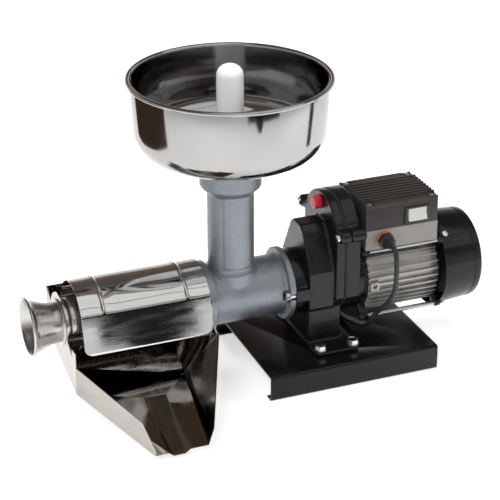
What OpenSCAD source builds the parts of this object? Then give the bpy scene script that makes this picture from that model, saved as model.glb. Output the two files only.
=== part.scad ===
// Motor driven tomato strainer: hopper, screw housing, cone screen, sauce chute, gear case and motor
// on a folded steel base. Millimetres. X runs along the drive from the waste outlet to the fan.

/* [Base] */
// Length of the base plate along the drive
base_len = 240; // [232:1:260]
// Width of the base plate
base_wid = 208; // [196:1:220]
// Height of the folded base
base_h = 35; // [30:0.5:40]
// Sheet thickness of the base
base_t = 2.5; // [2:0.1:3.2]
// Outer radius of the folds
base_bend_r = 4; // [3.4:0.1:6]
// Width of the lips turned in underneath
base_lip = 14; // [8:1:22]
// Height of the drive axis above the base plate
axis_rise = 80; // [78:0.5:90]

/* [Gear case] */
// Distance from the base's left end to the front of the gear case
case_x = 77; // [74:1:80]
// Length of the deep front block
block_len = 34.7; // [34:0.1:36]
// Width of the front block
block_wid = 95; // [93:1:104]
// Height of the front block above the axis
block_rise = 85; // [84:1:92]
// Length of the whole gear case
case_len = 69; // [67:0.5:71]
// Radius of the round upper part
lobe_r = 54.5; // [53:0.5:58]
// Radius of the round lower part behind the foot
seat_r = 50; // [49:0.5:52]
// Length of the mounting foot
foot_len = 63; // [60:1:66]
// Width of the mounting foot
foot_wid = 151; // [145:1:156]
// Thickness of the mounting foot
foot_t = 5; // [4:0.5:7]
// Spacing of the foot bolts across the base
foot_bolt_dy = 130; // [122:1:132]
// Spacing of the foot bolts along the base
foot_bolt_dx = 47; // [44:1:49]
// Diameter of the oil plug's head
plug_head_d = 18.5; // [16:0.5:20]

/* [Gears] */
// Width of the fast pair
fast_w = 14; // [10:1:16]
// Width of the slow pair
slow_w = 18; // [14:1:19]

/* [Strainer body] */
// Outer radius of the cast tube
tube_r = 40; // [39:0.5:42]
// Bore radius of the cast tube
tube_bore_r = 32; // [31:0.5:33]
// Radius of the drive end flange
flange_r = 48.7; // [48:0.1:51]
// Thickness of the drive end flange
flange_t = 8.6; // [7:0.1:10]
// Radius of the ring that holds the screen
end_ring_r = 47.5; // [46:0.5:49]
// Length of the ring that holds the screen
end_ring_len = 10; // [9:0.5:12]
// Distance from the base's left end back to the screen end
body_reach = 60; // [58:0.5:64]
// Outer radius of the feed column
column_r = 30.4; // [30:0.1:32]
// Bore radius of the feed column
column_bore_r = 27.5; // [26.8:0.1:28]
// Distance of the column's axis from the base's left end
column_back = 15.3; // [12:0.1:18]
// Outer radius of the bowl collar
collar_r = 39.9; // [38.5:0.1:42]

/* [Bowl] */
// Outer radius of the bowl wall at the rim
bowl_r = 123.9; // [115:0.1:130]
// Height of the bowl floor above the drive axis
bowl_floor_rise = 200; // [196:1:206]
// Depth of the bowl
bowl_depth = 97; // [85:1:110]
// Radius of the fold between floor and wall
bowl_corner_r = 35; // [20:1:45]
// Inward lean of the wall from rim to fold
bowl_taper = 1.4; // [0:0.1:4]
// Sheet thickness of the bowl
bowl_t = 1.2; // [1:0.1:1.6]
// Radius of the rolled rim
rim_bead_r = 3; // [2.4:0.1:4]
// Radius of the neck under the bowl
neck_r = 34; // [33:0.1:35]

/* [Pusher] */
// Diameter of the pusher stem
pusher_d = 34.3; // [30:0.1:38]
// Height of the pusher's top above the drive axis
pusher_rise = 315; // [305:1:340]
// Lift of the pusher out of the column
pusher_lift = 200; // [100:5:240]

/* [Screen and outlet] */
// Radius of the screen's wide end
screen_big_r = 40; // [39.5:0.1:40.3]
// Radius of the screen's narrow end
screen_small_r = 30; // [29:0.1:30.5]
// Length of the screen's cone
screen_len = 180; // [170:1:190]
// Sheet thickness of the screen
screen_t = 1; // [0.8:0.1:1.4]
// Outer radius of the outlet clamp ring
clamp_r = 30.4; // [30:0.1:32]
// Radius of the waste outlet's neck
outlet_neck_r = 26; // [24:0.1:26.4]
// Radius of the waste outlet's mouth
outlet_mouth_r = 38.3; // [34:0.1:44]
// Length of the waste outlet in front of the clamp ring
outlet_len = 38.4; // [30:0.1:45]

/* [Cover and chute] */
// Outer radius of the splash cover
cover_r = 51.5; // [50.5:0.1:52.5]
// Length of the splash cover
cover_len = 171; // [150:1:174]
// Sheet thickness of the cover and chute
sheet_t = 1.2; // [1:0.1:1.5]
// Radius of the chute's trough
trough_r = 51; // [50:0.5:53]
// Distance of the chute's back wall behind the axis
chute_back = 58; // [57:0.5:62]
// Distance from the axis to the tip of the chute
chute_reach = 190; // [175:1:205]
// Height of the chute's tip above the table
chute_tip_z = 12; // [9:0.5:16]
// Depth of the pressed channel at the tip
chute_rib = 5; // [3:0.5:7]

/* [Motor] */
// Radius of the motor barrel between its fins
barrel_r = 50.5; // [50:0.1:52]
// Height of the cooling fins
fin_h = 4.5; // [3:0.1:5]
// Length of the motor barrel
barrel_len = 101; // [98:1:108]
// Thickness of the front end shield
front_shield_len = 15; // [14:0.5:17]
// Thickness of the rear end shield
rear_shield_len = 6; // [5:0.5:8]
// Radius of the fan cover
fan_cover_r = 66; // [64:0.5:68]
// Length of the fan cover
fan_cover_len = 58; // [50:1:64]
// Distance of the tie rods from the axis, sideways and upwards
rod_off = 47; // [46:0.5:48]
// Radius of the motor shaft
motor_shaft_r = 8; // [7:0.1:8.4]

/* [Control box] */
// Length of the control box
box_len = 104; // [100:1:108]
// Width of the control box across the motor
box_wid = 86; // [80:1:95]
// Height of the control box
box_h = 31; // [30:0.5:36]
// Height of the lid
lid_h = 7; // [5:0.5:10]
// Width of the terminal base under the box
plinth_wid = 108; // [100:1:112]
// Width of the switch bezel
switch_w = 36; // [32:0.5:40]
// Height of the switch bezel
switch_h = 24; // [23:0.5:26]
// Travel of the rocker in degrees
rocker_travel = 20; // [10:1:24]

/* [Mains cord] */
// Diameter of the cord
cord_d = 6.6; // [6:0.1:6.8]

/* [Hidden] */
$fn = 96;
// Overrun of every cut
over = 1;
// Play of parts that seat in each other, and of parts that only pass
seat_fit = 0.05;
gap = 0.3;
axis_z = base_h + axis_rise;

// Gears: module and teeth, which give the step from the drive axis to the countershaft
gear_m = 2;
motor_teeth = 14;
counter_teeth = 44;
pinion_teeth = 17;
output_teeth = 41;
shaft_step = gear_m * (pinion_teeth + output_teeth) / 2;

// Row frame: the bottom centre of everything but the cord
outlet_bead_r = 1.8;
outlet_neck_share = 1 / 6;
screen_x0 = -body_reach;
screen_tip_len = 7;
clamp_len = 11;
clamp_x = screen_x0 - screen_len - clamp_len - gap;
mouth_x = clamp_x - outlet_len;
shield_x = case_x + case_len;
barrel_x = shield_x + front_shield_len;
plinth_in = 7;
plinth_x = shield_x + plinth_in;
plinth_out = 1;
rear_shield_x = max(barrel_x + barrel_len, plinth_x + box_len + plinth_out);
barrel_run = rear_shield_x - barrel_x;
fan_cover_x = rear_shield_x + rear_shield_len;
fan_end_x = fan_cover_x + fan_cover_len;
rim_flange = 0.8;
rim_r = bowl_r + rim_flange + rim_bead_r;
row_dx = -(mouth_x - outlet_bead_r + fan_end_x) / 2;
row_dy = (chute_reach + sheet_t / 2 - rim_r - rim_bead_r) / 2;

// Fasteners: bolt shanks, holes, hexagons across flats and head heights
m8_r = 4;
m8_hole_r = 4.5;
m8_af = 13;
m8_head_h = 5.5;
m8_washer_r = 8.8;
m8_washer_t = 1.5;
nut_h = 6.5;
bolt_end = 2;
foot_bolt_in = 10;
foot_in = 1;
foot_x = case_x - foot_in;
foot_corner_r = 6;
foot_bolt_places = [for (x = [foot_x + foot_bolt_in, foot_x + foot_bolt_in + foot_bolt_dx], s = [-1, 1])
    [x, s * foot_bolt_dy / 2]];
foot_top_z = base_h + foot_t;

// Gear case
split_in = 48;
split_x = case_x + split_in;
gasket_t = 0.8;
case_wall = 4;
web_in = 31;
web_x = case_x + web_in;
web_t = 8;
step_x = case_x + block_len;
stem_wid = 86;
stem_drop = 26.5;
stem_z = axis_z - stem_drop;
block_drop = 25;
block_z = axis_z - block_drop;
shoulder_rise = 28;
block_shoulder_z = axis_z + shoulder_rise;
block_brow_wid = 40;
block_cap_wid = 24;
block_cap = 6;
block_top_z = axis_z + block_rise;
counter_z = axis_z + shaft_step;
lobe_rise = 10;
lobe_z = counter_z + lobe_rise;
lobe_drop = 13;
lobe_foot_z = axis_z - lobe_drop;
slow_room_r = 44;
pinion_room_r = 21;
fast_room_r = 49;
fast_room_rise = 5;
fast_room_z = counter_z + fast_room_rise;
fast_room_wid = 92;
boss_y = 64;
boss_rise = 25;
boss_z = counter_z + boss_rise;
boss_r = 8.5;
boss_lead = 1.7;
boss_rib_h = 12;
boss_root_share = 0.8;
case_screw_r = 3;
case_screw_head_r = 5;
case_screw_head_h = 4;
plug_y = 4;
plug_rise = 39;
plug_z = lobe_z + plug_rise;
plug_r = 5;
plug_head_h = 10;
plug_reach = 7;

// Shafts and their bearings
shaft_r = 12;
shaft_end_r = 8;
shaft_x = 20;
front_bearing_r = 26;
front_bearing_len = 16;
front_bearing_x = 62;
rear_bearing_r = 16;
rear_bearing_len = 6;
counter_r = 6;
bush_r = 9;
bush_len = 6;
bush_boss_r = 12;
bush_boss_len = 4;
blind_t = 2;
web_hole_r = 7;
slow_x = web_x - slow_w - blind_t * 2;
fast_x = web_x + web_t + blind_t * 3;
motor_bearing_r = 17.5;
motor_bearing_len = 11;
shaft_hole_r = motor_shaft_r + gap;

// Strainer body
flange_x = 50;
hub_x = flange_x + flange_t;
hub_r = 44.5;
lug_wid = 16;
lug_reach = 48.5;
body_bolt_y = 43;
bolt_pocket_r = 8;
bolt_pocket_len = 7;
slot_w = 9;
column_x = -column_back;
collar_chamfer = 9.5;
collar_rise = 154.5;
collar_z = axis_z + collar_rise;
collar_top_z = axis_z + bowl_floor_rise - bowl_t;
neck_len = 30;
neck_shelf = 3;
neck_z = max(collar_top_z - neck_len, collar_z + neck_shelf);
saddle_r = 4.5;
saddle_rise = 37;
saddle_z = axis_z + saddle_rise;
saddle_stretch_share = 1.6;
panel_wid = 37;
panel_t = 1.2;
panel_rise = 46;
panel_z = axis_z + panel_rise;
panel_h = 107;
socket_len = 8;
screen_tip_in = 2;

// Screw that carries the fruit
auger_root_r = 15;
auger_tip_root_r = 11;
auger_play = 1;
flight_t = 5;
flight_step = 15;
body_twist = 900;
cone_twist = 1800;
body_flight_len = 98;
cone_flight_len = 176;
auger_nose_r = 9;
auger_nose_len = 8;
seal_x = 51;
seal_len = 7;

// Bowl and pusher
bowl_floor_z = axis_z + bowl_floor_rise;
rim_z = bowl_floor_z + bowl_depth;
pusher_foot_len = 52;
pusher_foot_gap = 0.5;
pusher_z = axis_z + tube_bore_r + gap;
pusher_top_z = axis_z + pusher_rise;
pusher_round_r = 14;

// Cover and chute
cover_x = screen_x0 - sheet_t - gap - cover_len;
cover_bead_in = 30;
cover_bead_w = 4;
cover_bead_t = 1.2;
cover_turn = 62;
flap_out = 58;
flap_drop = 25;
flap_corner_r = 9;
flap_z = axis_z - flap_drop;
cover_back_rise = 2;
cover_back_z = axis_z + cover_back_rise;
hook_r = 2.4;
wall_rise = 24;
wall_top_z = axis_z + wall_rise;
trough_y = chute_back - trough_r;
crease_y = -68;
crease_drop = 70;
crease_z = axis_z - crease_drop;
chute_in = 2;
chute_x0 = clamp_x + chute_in;
ring_wid = 8;
tab_w = 14;
tab_drop = 12;
tab_z = axis_z - tab_drop;
tab_foot_drop = 24;
tab_foot_z = axis_z - tab_foot_drop;
arc_steps = 20;
chute_x1 = screen_x0 - sheet_t;
floor_end_in = 44.8;
floor_x1 = chute_x1 - floor_end_in;
lip_in = 62.3;
lip_x0 = chute_x0 + lip_in;
lip_wid = 69;
lip_x1 = lip_x0 + lip_wid;
lip_wall_h = 33;
lip_right_h = 22;
left_wall_h = 38;
left_wall_share = 0.86;
left_tip_h = 6;
corner_out = 3.2;
corner_x = chute_x1 + corner_out;
corner_drop = 20;
corner_top_z = axis_z - corner_drop;
corner_floor_in = 35.8;
corner_floor_x = chute_x1 - corner_floor_in;
rib_half = 14;
rib_run = 28;
rib_start_y = crease_y - rib_run;
rib_in = 31;
rib_mid_x = lip_x0 + rib_in;

// Motor
fin_t = 2.4;
fin_step = 10;
fin_clear = 37;
barrel_wall = 2.5;
lug_r = 4.8;
lug_web = 7;
lug_len = 11;
rod_r = 3;
core_in = 14;
core_x = barrel_x + core_in;
core_len = 70;
core_bore_r = 30.6;
winding_r = 46;
winding_bore_r = 34;
winding_len = 11;
rotor_r = 30.2;
rotor_shaft_x = fast_x - over;
fan_in = 17;
fan_x = fan_cover_x + fan_in;
fan_len = 15;
fan_r = 52;
fan_disc_t = 2;
fan_hub_r = 13;
fan_blades = 7;
fan_cover_t = 1.2;
fan_cover_lean = 4;
fan_cover_edge_r = 6;
grille_slots = 16;
grille_w = 5;
grille_r0 = 14;
grille_r1 = 50;
cover_screw_angles = [50.7, 129.3, 230.7, 309.3];
cover_screw_r = 2;
cover_screw_head_r = 4;
cover_screw_head_h = 2.2;
cover_tab_len = 14;
cover_tab_w = 10;
cover_tab_t = 4;
cover_tab_lean = fan_cover_lean * cover_tab_len / (fan_cover_len - fan_cover_edge_r);
cover_tab_r = fan_cover_r - fan_cover_t - gap - cover_tab_lean;
pad_size = 12;
pad_in = 1;
pad_x = barrel_x + pad_in;
pad_out = 55.4;
pad_hole_r = 3;

// Terminal base, box and switch
plinth_rise = 52;
plinth_z0 = axis_z + plinth_rise;
box_rise = 80;
box_z = axis_z + box_rise;
neck_half = 26;
plinth_wall = 5;
box_wall = 3;
box_overhang = 1;
box_x = plinth_x - box_overhang;
box_y0 = -plinth_wid / 2;
box_y1 = box_y0 + box_wid;
lid_lip = 1;
lid_ribs = 8;
lid_rib_h = 2;
lid_rib_share = 0.5;
lid_rib_in = 12;
lid_notch_r = 8;
lid_screw_in = 7;
lid_screw_r = 2;
lid_screw_head_r = 3.5;
lid_screw_head_h = 2;
lid_screw_len = 12;
cap_r = 12;
cap_len = 60;
cap_y = 5;
switch_in = 30;
switch_mid_x = box_x + box_len - switch_in;
switch_rise = 14;
switch_mid_z = box_z + switch_rise;
switch_out = 2;
switch_depth = 12;
switch_rim = 2.2;
rocker_half = 8.7;
rocker_room = 10;
rocker_nose = 6;
rocker_dip = 1.8;
rocker_back = 5;
rocker_in = 3;
rocker_pin_r = 1.5;
rocker_pin_len = 1.5;
rocker_pin_in = 3;
rocker_y = box_y0 + rocker_pin_in;

// Cable gland, cord and plug
gland_in = 27;
gland_x = plinth_x + gland_in;
gland_rise = 65;
gland_z = axis_z + gland_rise;
gland_af = 20;
gland_hex_len = 8;
gland_washer_t = 2;
gland_washer_r = 11.5;
gland_nose_len = 11;
gland_nose_r = 9;
gland_tip_r = 5.5;
gland_thread_r = 8;
gland_thread_len = 10;
gland_nose_y = box_y0 - gland_washer_t - gland_hex_len - gland_nose_len;
cord_sides = 10;
coil_sides = 6;
coil_segments = 24;
coil_turns = 6.25;
coil_r = 48;
coil_pitch = 7.3;
coil_lift = 1.3;
coil_x = 215;
coil_y = 165;
coil_z0 = cord_d / 2 + coil_lift;
tie_w = 9;
tie_t = 1;
plug_rest_r = 18.5;
plug_len = 32;
plug_grip_len = 16;
plug_grip_r = 8;
plug_flare_share = 1.6;
pin_r = 2.4;
pin_len = 19;
pin_half = 9.5;
tail_len = 36;

// Route of the cord from the gland to the floor behind the base
cord_route = [[180, -75, 180], [180, -80, 180], [180, -86, 177], [180, -90, 169], [180, -92, 156],
    [180, -92, 142], [180, -91, 128], [178, -88, 114], [175, -81, 101], [170, -72, 89], [166, -63, 77],
    [161, -56, 63], [158, -46, 54], [156, -32, 49], [154, -14, 44.5], [153, 6, 40.5], [152, 26, 39], [151, 44, 38.8],
    [151, 62, 38.8], [151, 80, 38.9], [152, 94, 39.4], [153, 104, 40], [154, 111, 37], [155, 116, 30],
    [156, 119, 19], [160, 127, 9], [164, 138, 5], [167, 150, 4.6], [167, 158.4, 4.6]];

// Points of a coil that spirals in on one layer and out again on the next
coil_in_r = coil_r - coil_pitch * coil_turns / 2;
function coil_radius(t) = coil_in_r + coil_pitch * abs(t - coil_turns / 2);
function coil_rise(t) = let (u = min(1, max(0, (t - coil_turns / 2) * 2
    + 0.5))) coil_pitch * u * u * (3 - 2 * u);
function coil_point(t) = [coil_x - coil_radius(t) * cos(360 * t), coil_y + coil_radius(t) * sin(360 * t),
    coil_z0 + coil_rise(t)];
coil_count = coil_turns * coil_segments;
coil_end = coil_point(coil_turns);
coil_points = [[coil_point(0).x, coil_y - cord_d, coil_z0],
    each [for (i = [0:coil_count]) coil_point(i / coil_segments)],
    coil_end + [cord_d, 0, 0]];
coil_gap = min([for (i = [0:coil_count - coil_segments / 2], j = [i + coil_segments / 2:coil_count])
    norm(coil_point(i / coil_segments) - coil_point(j / coil_segments))]) - cord_d;
tail_start = coil_end + [cord_d, 0, 0];
tail_steps = 4;
tail_run = tail_len - 2 * cord_d;
tail_points = [tail_start, for (i = [0:tail_steps]) let (u = i / tail_steps)
    tail_start + [cord_d + tail_run * u, 0, (plug_rest_r - tail_start.z) * u * u * (3 - 2 * u)],
    tail_start + [tail_len, 0, plug_rest_r - tail_start.z]];
plug_x = tail_start.x + tail_len;
plug_y0 = tail_start.y;
echo(coil_gap = coil_gap);

// Tube swept along points: rings square to the mean direction, turned from a steady side vector
function unit(v) = v / norm(v);
function way(p, i) = unit(p[min(i + 1, len(p) - 1)] - p[max(i - 1, 0)]);
function ring_of(c, d, side, r, n) = let (u = unit(cross(d, side)), v = cross(d, u))
    [for (k = [0:n - 1]) c + r * (cos(360 * k / n) * u + sin(360 * k / n) * v)];
module swept(p, side, r, n) {
    points = [for (i = [0:len(p) - 1]) each ring_of(p[i], way(p, i), side, r, n)];
    last = (len(p) - 1) * n;
    walls = [for (i = [0:len(p) - 2], k = [0:n - 1]) let (a = i * n + k, b = i * n + (k + 1) % n)
        each [[a, b, a + n], [b, b + n, a + n]]];
    caps = [for (k = [1:n - 2]) each [[0, k + 1, k], [last, last + k, last + k + 1]]];
    polyhedron(points, concat(walls, caps));
}

// Helpers: the row frame, outlines across the drive, rods along each axis and plain blocks
module place() translate([row_dx, row_dy, 0]) children();
module along_x(x, len) translate([x, 0, 0]) rotate([90, 0, 90]) linear_extrude(len) children();
module rod_x(x, len, r, y = 0, z = axis_z) translate([x, y, z]) rotate([0, 90, 0]) cylinder(h = len, r = r);
module rod_y(y, len, r, x, z) translate([x, y, z]) rotate([-90, 0, 0]) cylinder(h = len, r = r);
module rod_z(z, len, r, x, y) translate([x, y, z]) cylinder(h = len, r = r);
module hole_x(x, len, r, y = 0, z = axis_z) rod_x(x - over, len + 2 * over, r, y, z);
module spun_x(y = 0, z = axis_z) translate([0, y, z]) rotate([0, 90, 0]) rotate_extrude() children();
module block(a, b) translate(a) cube(b - a);
module hexagon(af) circle(r = af / sqrt(3), $fn = 6);
module ring_x(x, len, r, bore, y = 0, z = axis_z) difference() {
    rod_x(x, len, r, y, z);
    hole_x(x, len, bore, y, z);
}
module round_rect(w, h, r) {
    translate([r, 0]) square([w - 2 * r, h]);
    translate([0, r]) square([w, h - 2 * r]);
    for (x = [r, w - r], y = [r, h - r]) translate([x, y]) circle(r);
}

// Base and its bolts
module base_plate() color("#151517") place() difference() {
    along_x(0, base_len) difference() {
        translate([-base_wid / 2, 0]) round_rect(base_wid, base_h, base_bend_r);
        translate([base_t - base_wid / 2, base_t])
            round_rect(base_wid - 2 * base_t, base_h - 2 * base_t, base_bend_r - base_t);
        translate([base_lip - base_wid / 2, -over]) square([base_wid - 2 * base_lip, base_t + 2 * over]);
    }
    for (p = foot_bolt_places) rod_z(base_h - base_t - over, base_t + 2 * over, m8_hole_r, p.x, p.y);
}

module foot_bolts() color("#c9cbcf") place() for (p = foot_bolt_places) {
    rod_z(foot_top_z, m8_washer_t, m8_washer_r, p.x, p.y);
    translate([p.x, p.y, foot_top_z]) linear_extrude(m8_washer_t + m8_head_h) hexagon(m8_af);
    rod_z(base_h - base_t - nut_h - bolt_end, nut_h + bolt_end + base_t + foot_t + over, m8_r, p.x, p.y);
}

module foot_nuts() color("#c9cbcf") place() for (p = foot_bolt_places)
    translate([p.x, p.y, base_h - base_t - nut_h]) linear_extrude(nut_h) difference() {
        hexagon(m8_af);
        circle(m8_r + seat_fit);
    }

// Gear case: outlines across the drive, the rooms inside and the two castings
module block_outline() polygon([[-block_wid / 2, block_z], [block_wid / 2, block_z],
    [block_wid / 2, block_shoulder_z], [block_brow_wid / 2, block_top_z - block_cap],
    [block_cap_wid / 2, block_top_z], [-block_cap_wid / 2, block_top_z],
    [-block_brow_wid / 2, block_top_z - block_cap], [-block_wid / 2, block_shoulder_z]]);

module rear_outline() {
    translate([0, lobe_z]) circle(lobe_r);
    translate([-lobe_r, lobe_foot_z]) square([2 * lobe_r, lobe_z - lobe_foot_z]);
    translate([0, axis_z]) circle(seat_r);
}

module slow_room() {
    translate([0, axis_z]) circle(slow_room_r);
    translate([0, counter_z]) circle(pinion_room_r);
    translate([-pinion_room_r, axis_z]) square([2 * pinion_room_r, shaft_step]);
}

module fast_room() {
    translate([0, fast_room_z]) circle(fast_room_r);
    translate([-fast_room_wid / 2, axis_z]) square([fast_room_wid, fast_room_z - axis_z]);
    translate([0, axis_z]) circle(slow_room_r);
}

module case_bosses(x, len) for (s = [-1, 1]) {
    rod_x(x, len, boss_r, s * boss_y, boss_z);
    y0 = min(s * boss_y, s * lobe_r * boss_root_share);
    y1 = max(s * boss_y, s * lobe_r * boss_root_share);
    block([max(x, step_x), y0, boss_z - boss_rib_h / 2], [x + len, y1, boss_z + boss_rib_h / 2]);
}

module case_screw_holes(x, len) for (s = [-1, 1])
    hole_x(x, len, case_screw_r + seat_fit, s * boss_y, boss_z);

module gearbox_front_case() color("#1b1c1e") place() difference() {
    front_end = split_x - gasket_t / 2;
    union() {
        translate([foot_x, -foot_wid / 2, base_h]) linear_extrude(foot_t)
            round_rect(foot_len, foot_wid, foot_corner_r);
        block([case_x + over, -stem_wid / 2, base_h], [front_end, stem_wid / 2, stem_z]);
        along_x(case_x + over, front_end - case_x - over) translate([-stem_wid / 2, stem_z - over])
            square([stem_wid, block_z - stem_z + 2 * over]);
        along_x(case_x, block_len) block_outline();
        along_x(step_x, front_end - step_x) rear_outline();
        case_bosses(step_x - boss_lead, front_end - step_x + boss_lead);
    }
    difference() {
        along_x(case_x + case_wall, web_x - case_x - case_wall) slow_room();
        rod_x(case_x, case_wall + bush_boss_len, bush_boss_r, 0, counter_z);
    }
    along_x(web_x + web_t, front_end - web_x - web_t + over) fast_room();
    rod_x(case_x - over, case_wall + 2 * over, front_bearing_r + seat_fit);
    rod_x(web_x - over, rear_bearing_len + over, rear_bearing_r + seat_fit);
    rod_x(case_x + blind_t, case_wall + bush_boss_len - blind_t + over, bush_r + seat_fit, 0, counter_z);
    hole_x(web_x, web_t, web_hole_r, 0, counter_z);
    hole_x(step_x, case_wall, plug_r + seat_fit, plug_y, plug_z);
    case_screw_holes(step_x - boss_lead, front_end - step_x + boss_lead);
    for (p = foot_bolt_places) rod_z(base_h - over, foot_t + 2 * over, m8_hole_r, p.x, p.y);
}

module gearbox_rear_case() color("#1b1c1e") place() difference() {
    rear_start = split_x + gasket_t / 2;
    wall_x = shield_x - case_wall;
    union() {
        along_x(rear_start, shield_x - rear_start) rear_outline();
        case_bosses(rear_start, shield_x - rear_start);
    }
    difference() {
        along_x(rear_start - over, wall_x - rear_start + over) fast_room();
        rod_x(wall_x - bush_boss_len, case_wall + bush_boss_len, bush_boss_r, 0, counter_z);
    }
    rod_x(wall_x - bush_boss_len - over, bush_len + over, bush_r + seat_fit, 0, counter_z);
    hole_x(wall_x, case_wall, shaft_hole_r);
    case_screw_holes(rear_start, shield_x - rear_start);
}

module case_gasket() color("#8c8578") place() difference() {
    gasket_x = split_x - gasket_t / 2;
    along_x(gasket_x, gasket_t) rear_outline();
    along_x(gasket_x - over, gasket_t + 2 * over) fast_room();
}

module case_screws() color("#9a9ca0") place() for (s = [-1, 1]) {
    head_x = step_x - boss_lead - case_screw_head_h;
    rod_x(head_x, case_screw_head_h, case_screw_head_r, s * boss_y, boss_z);
    rod_x(head_x + over, shield_x - head_x - 2 * over, case_screw_r, s * boss_y, boss_z);
}

module oil_plug() color("#e0304a") place() {
    translate([step_x - plug_head_h, plug_y, plug_z]) rotate([90, 0, 90])
        linear_extrude(plug_head_h) intersection() {
        hexagon(plug_head_d);
        circle(d = plug_head_d);
    }
    rod_x(step_x - over, plug_reach + over, plug_r, plug_y, plug_z);
}

module body_adapter_ring() color("#1b1c1e") place() difference() {
    hub_len = case_x - hub_x;
    union() {
        rod_x(hub_x, hub_len, hub_r);
        block([hub_x, -lug_reach, axis_z - lug_wid / 2], [case_x, lug_reach, axis_z + lug_wid / 2]);
    }
    hole_x(hub_x, hub_len, front_bearing_r + seat_fit);
    for (s = [-1, 1]) hole_x(hub_x, hub_len, m8_r + seat_fit, s * body_bolt_y);
}

// Involute gears: rings of flank points from root to tip, one tooth centred on the phase angle
backlash = 0.3;
pressure = 20;
addendum_share = 0.95;
dedendum_share = 1.25;
flank_steps = 3;
function involute(a) = tan(a) - a * PI / 180;
function flank_angle(n, r) = let (pitch = n * gear_m / 2, base = pitch * cos(pressure),
    a = r > base ? acos(base / r) : 0)
    90 / n - backlash / (2 * pitch) * 180 / PI + (involute(pressure) - involute(a)) * 180 / PI;
function flank_radius(n, i) = let (pitch = n * gear_m / 2)
    pitch - dedendum_share * gear_m + (dedendum_share + addendum_share) * gear_m * i / flank_steps;
function on_circle(r, a) = [r * cos(a), r * sin(a)];
function tooth(n, middle) = [
    for (i = [0:flank_steps]) let (r = flank_radius(n, i)) on_circle(r, middle - flank_angle(n, r)),
    for (i = [flank_steps:-1:0]) let (r = flank_radius(n, i)) on_circle(r, middle + flank_angle(n, r))];
module spur(n, x, width, z, phase, bore) translate([x, 0, z]) rotate([90, 0, 90])
    linear_extrude(width) difference() {
    polygon([for (k = [0:n - 1]) each tooth(n, phase + 360 * k / n)]);
    circle(bore);
}

module output_gear() color("#8f9296") place() spur(output_teeth, slow_x, slow_w, axis_z, 90, shaft_r
    + seat_fit);
module countershaft_pinion() color("#8f9296") place()
    spur(pinion_teeth, slow_x, slow_w, counter_z, -90 + 180 / pinion_teeth, counter_r + seat_fit);
module countershaft_gear() color("#b9b7a8") place()
    spur(counter_teeth, fast_x, fast_w, counter_z, -90 + 180 / counter_teeth, counter_r + seat_fit);
module motor_pinion() color("#8f9296") place()
    spur(motor_teeth, fast_x, fast_w, axis_z, 90, motor_shaft_r + seat_fit);

module output_shaft() color("#8f9296") place() {
    rod_x(shaft_x, web_x - gap - shaft_x, shaft_r);
    rod_x(web_x - over, rear_bearing_len + over - gap, shaft_end_r);
}

module countershaft() color("#8f9296") place() {
    start_x = case_x + blind_t + gap;
    rod_x(start_x, shield_x - case_wall - bush_boss_len + bush_len - gap - start_x, counter_r, 0,
        counter_z);
}

module countershaft_bushes() color("#b08d4f") place() {
    ring_x(case_x + case_wall + bush_boss_len - bush_len, bush_len, bush_r, counter_r + seat_fit, 0,
        counter_z);
    ring_x(shield_x - case_wall - bush_boss_len, bush_len, bush_r, counter_r + seat_fit, 0, counter_z);
}

module output_bearing_front() color("#a7a9ad") place()
    ring_x(front_bearing_x, front_bearing_len, front_bearing_r, shaft_r + seat_fit);
module output_bearing_rear() color("#a7a9ad") place()
    ring_x(web_x, rear_bearing_len, rear_bearing_r, shaft_end_r + seat_fit);

// Strainer body: tube, column, collar, flange and screen ring in one casting
module column_profile() polygon([[0, axis_z], [column_r + saddle_r, axis_z], [column_r + saddle_r,
    saddle_z],
    for (i = [0:arc_steps / 2]) let (a = 90 * i / (arc_steps / 2))
        [column_r + saddle_r * (1 - sin(a)), saddle_z + saddle_r * saddle_stretch_share * (1 - cos(a))],
    [column_r, collar_z - collar_chamfer], [collar_r, collar_z], [collar_r, collar_top_z], [0,
        collar_top_z]]);

module strainer_body() color("#b9bfc6") place() difference() {
    union() {
        rod_x(screen_x0 + over, hub_x - screen_x0 - 2 * over, tube_r);
        rod_x(screen_x0, end_ring_len, end_ring_r);
        rod_x(hub_x - flange_t, flange_t, flange_r);
        translate([column_x, 0, 0]) rotate_extrude() column_profile();
        intersection() {
            rod_z(panel_z, panel_h, column_r + panel_t, column_x, 0);
            block([column_x - panel_wid / 2, -column_r - 2 * panel_t, panel_z],
                [column_x + panel_wid / 2, 0, panel_z + panel_h]);
        }
    }
    hole_x(screen_x0, hub_x - screen_x0, tube_bore_r);
    rod_x(screen_x0 - over, socket_len + over, screen_big_r + 2 * gap);
    rod_z(axis_z, collar_top_z - axis_z + over, column_bore_r, column_x, 0);
    rod_z(neck_z, neck_len + over, neck_r + gap, column_x, 0);
    for (s = [-1, 1]) {
        rod_x(hub_x - flange_t - bolt_pocket_len, bolt_pocket_len, bolt_pocket_r, s * body_bolt_y);
        hole_x(hub_x - flange_t, flange_t, slot_w / 2, s * body_bolt_y);
        y0 = min(s * body_bolt_y, s * (flange_r + over));
        y1 = max(s * body_bolt_y, s * (flange_r + over));
        block([hub_x - flange_t - over, y0, axis_z - slot_w / 2], [hub_x + over, y1, axis_z + slot_w / 2]);
    }
}

module body_bolts() color("#d2d6da") place() for (s = [-1, 1]) {
    translate([hub_x - flange_t - m8_head_h, s * body_bolt_y, axis_z]) rotate([90, 0, 90])
        linear_extrude(m8_head_h) hexagon(m8_af);
    rod_x(hub_x - flange_t - over, flange_t + case_x - hub_x, m8_r, s * body_bolt_y);
}

// Screw: a parallel feed part in the tube, then a tapered press part in the screen
module flight(x, len, turn, scale_end, r) translate([x, 0, axis_z]) rotate([0, -90, 0])
    linear_extrude(len, twist = turn, scale = scale_end, slices = turn / flight_step, $fn = 12)
        translate([0, -flight_t / 2]) square([r, flight_t]);

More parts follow.
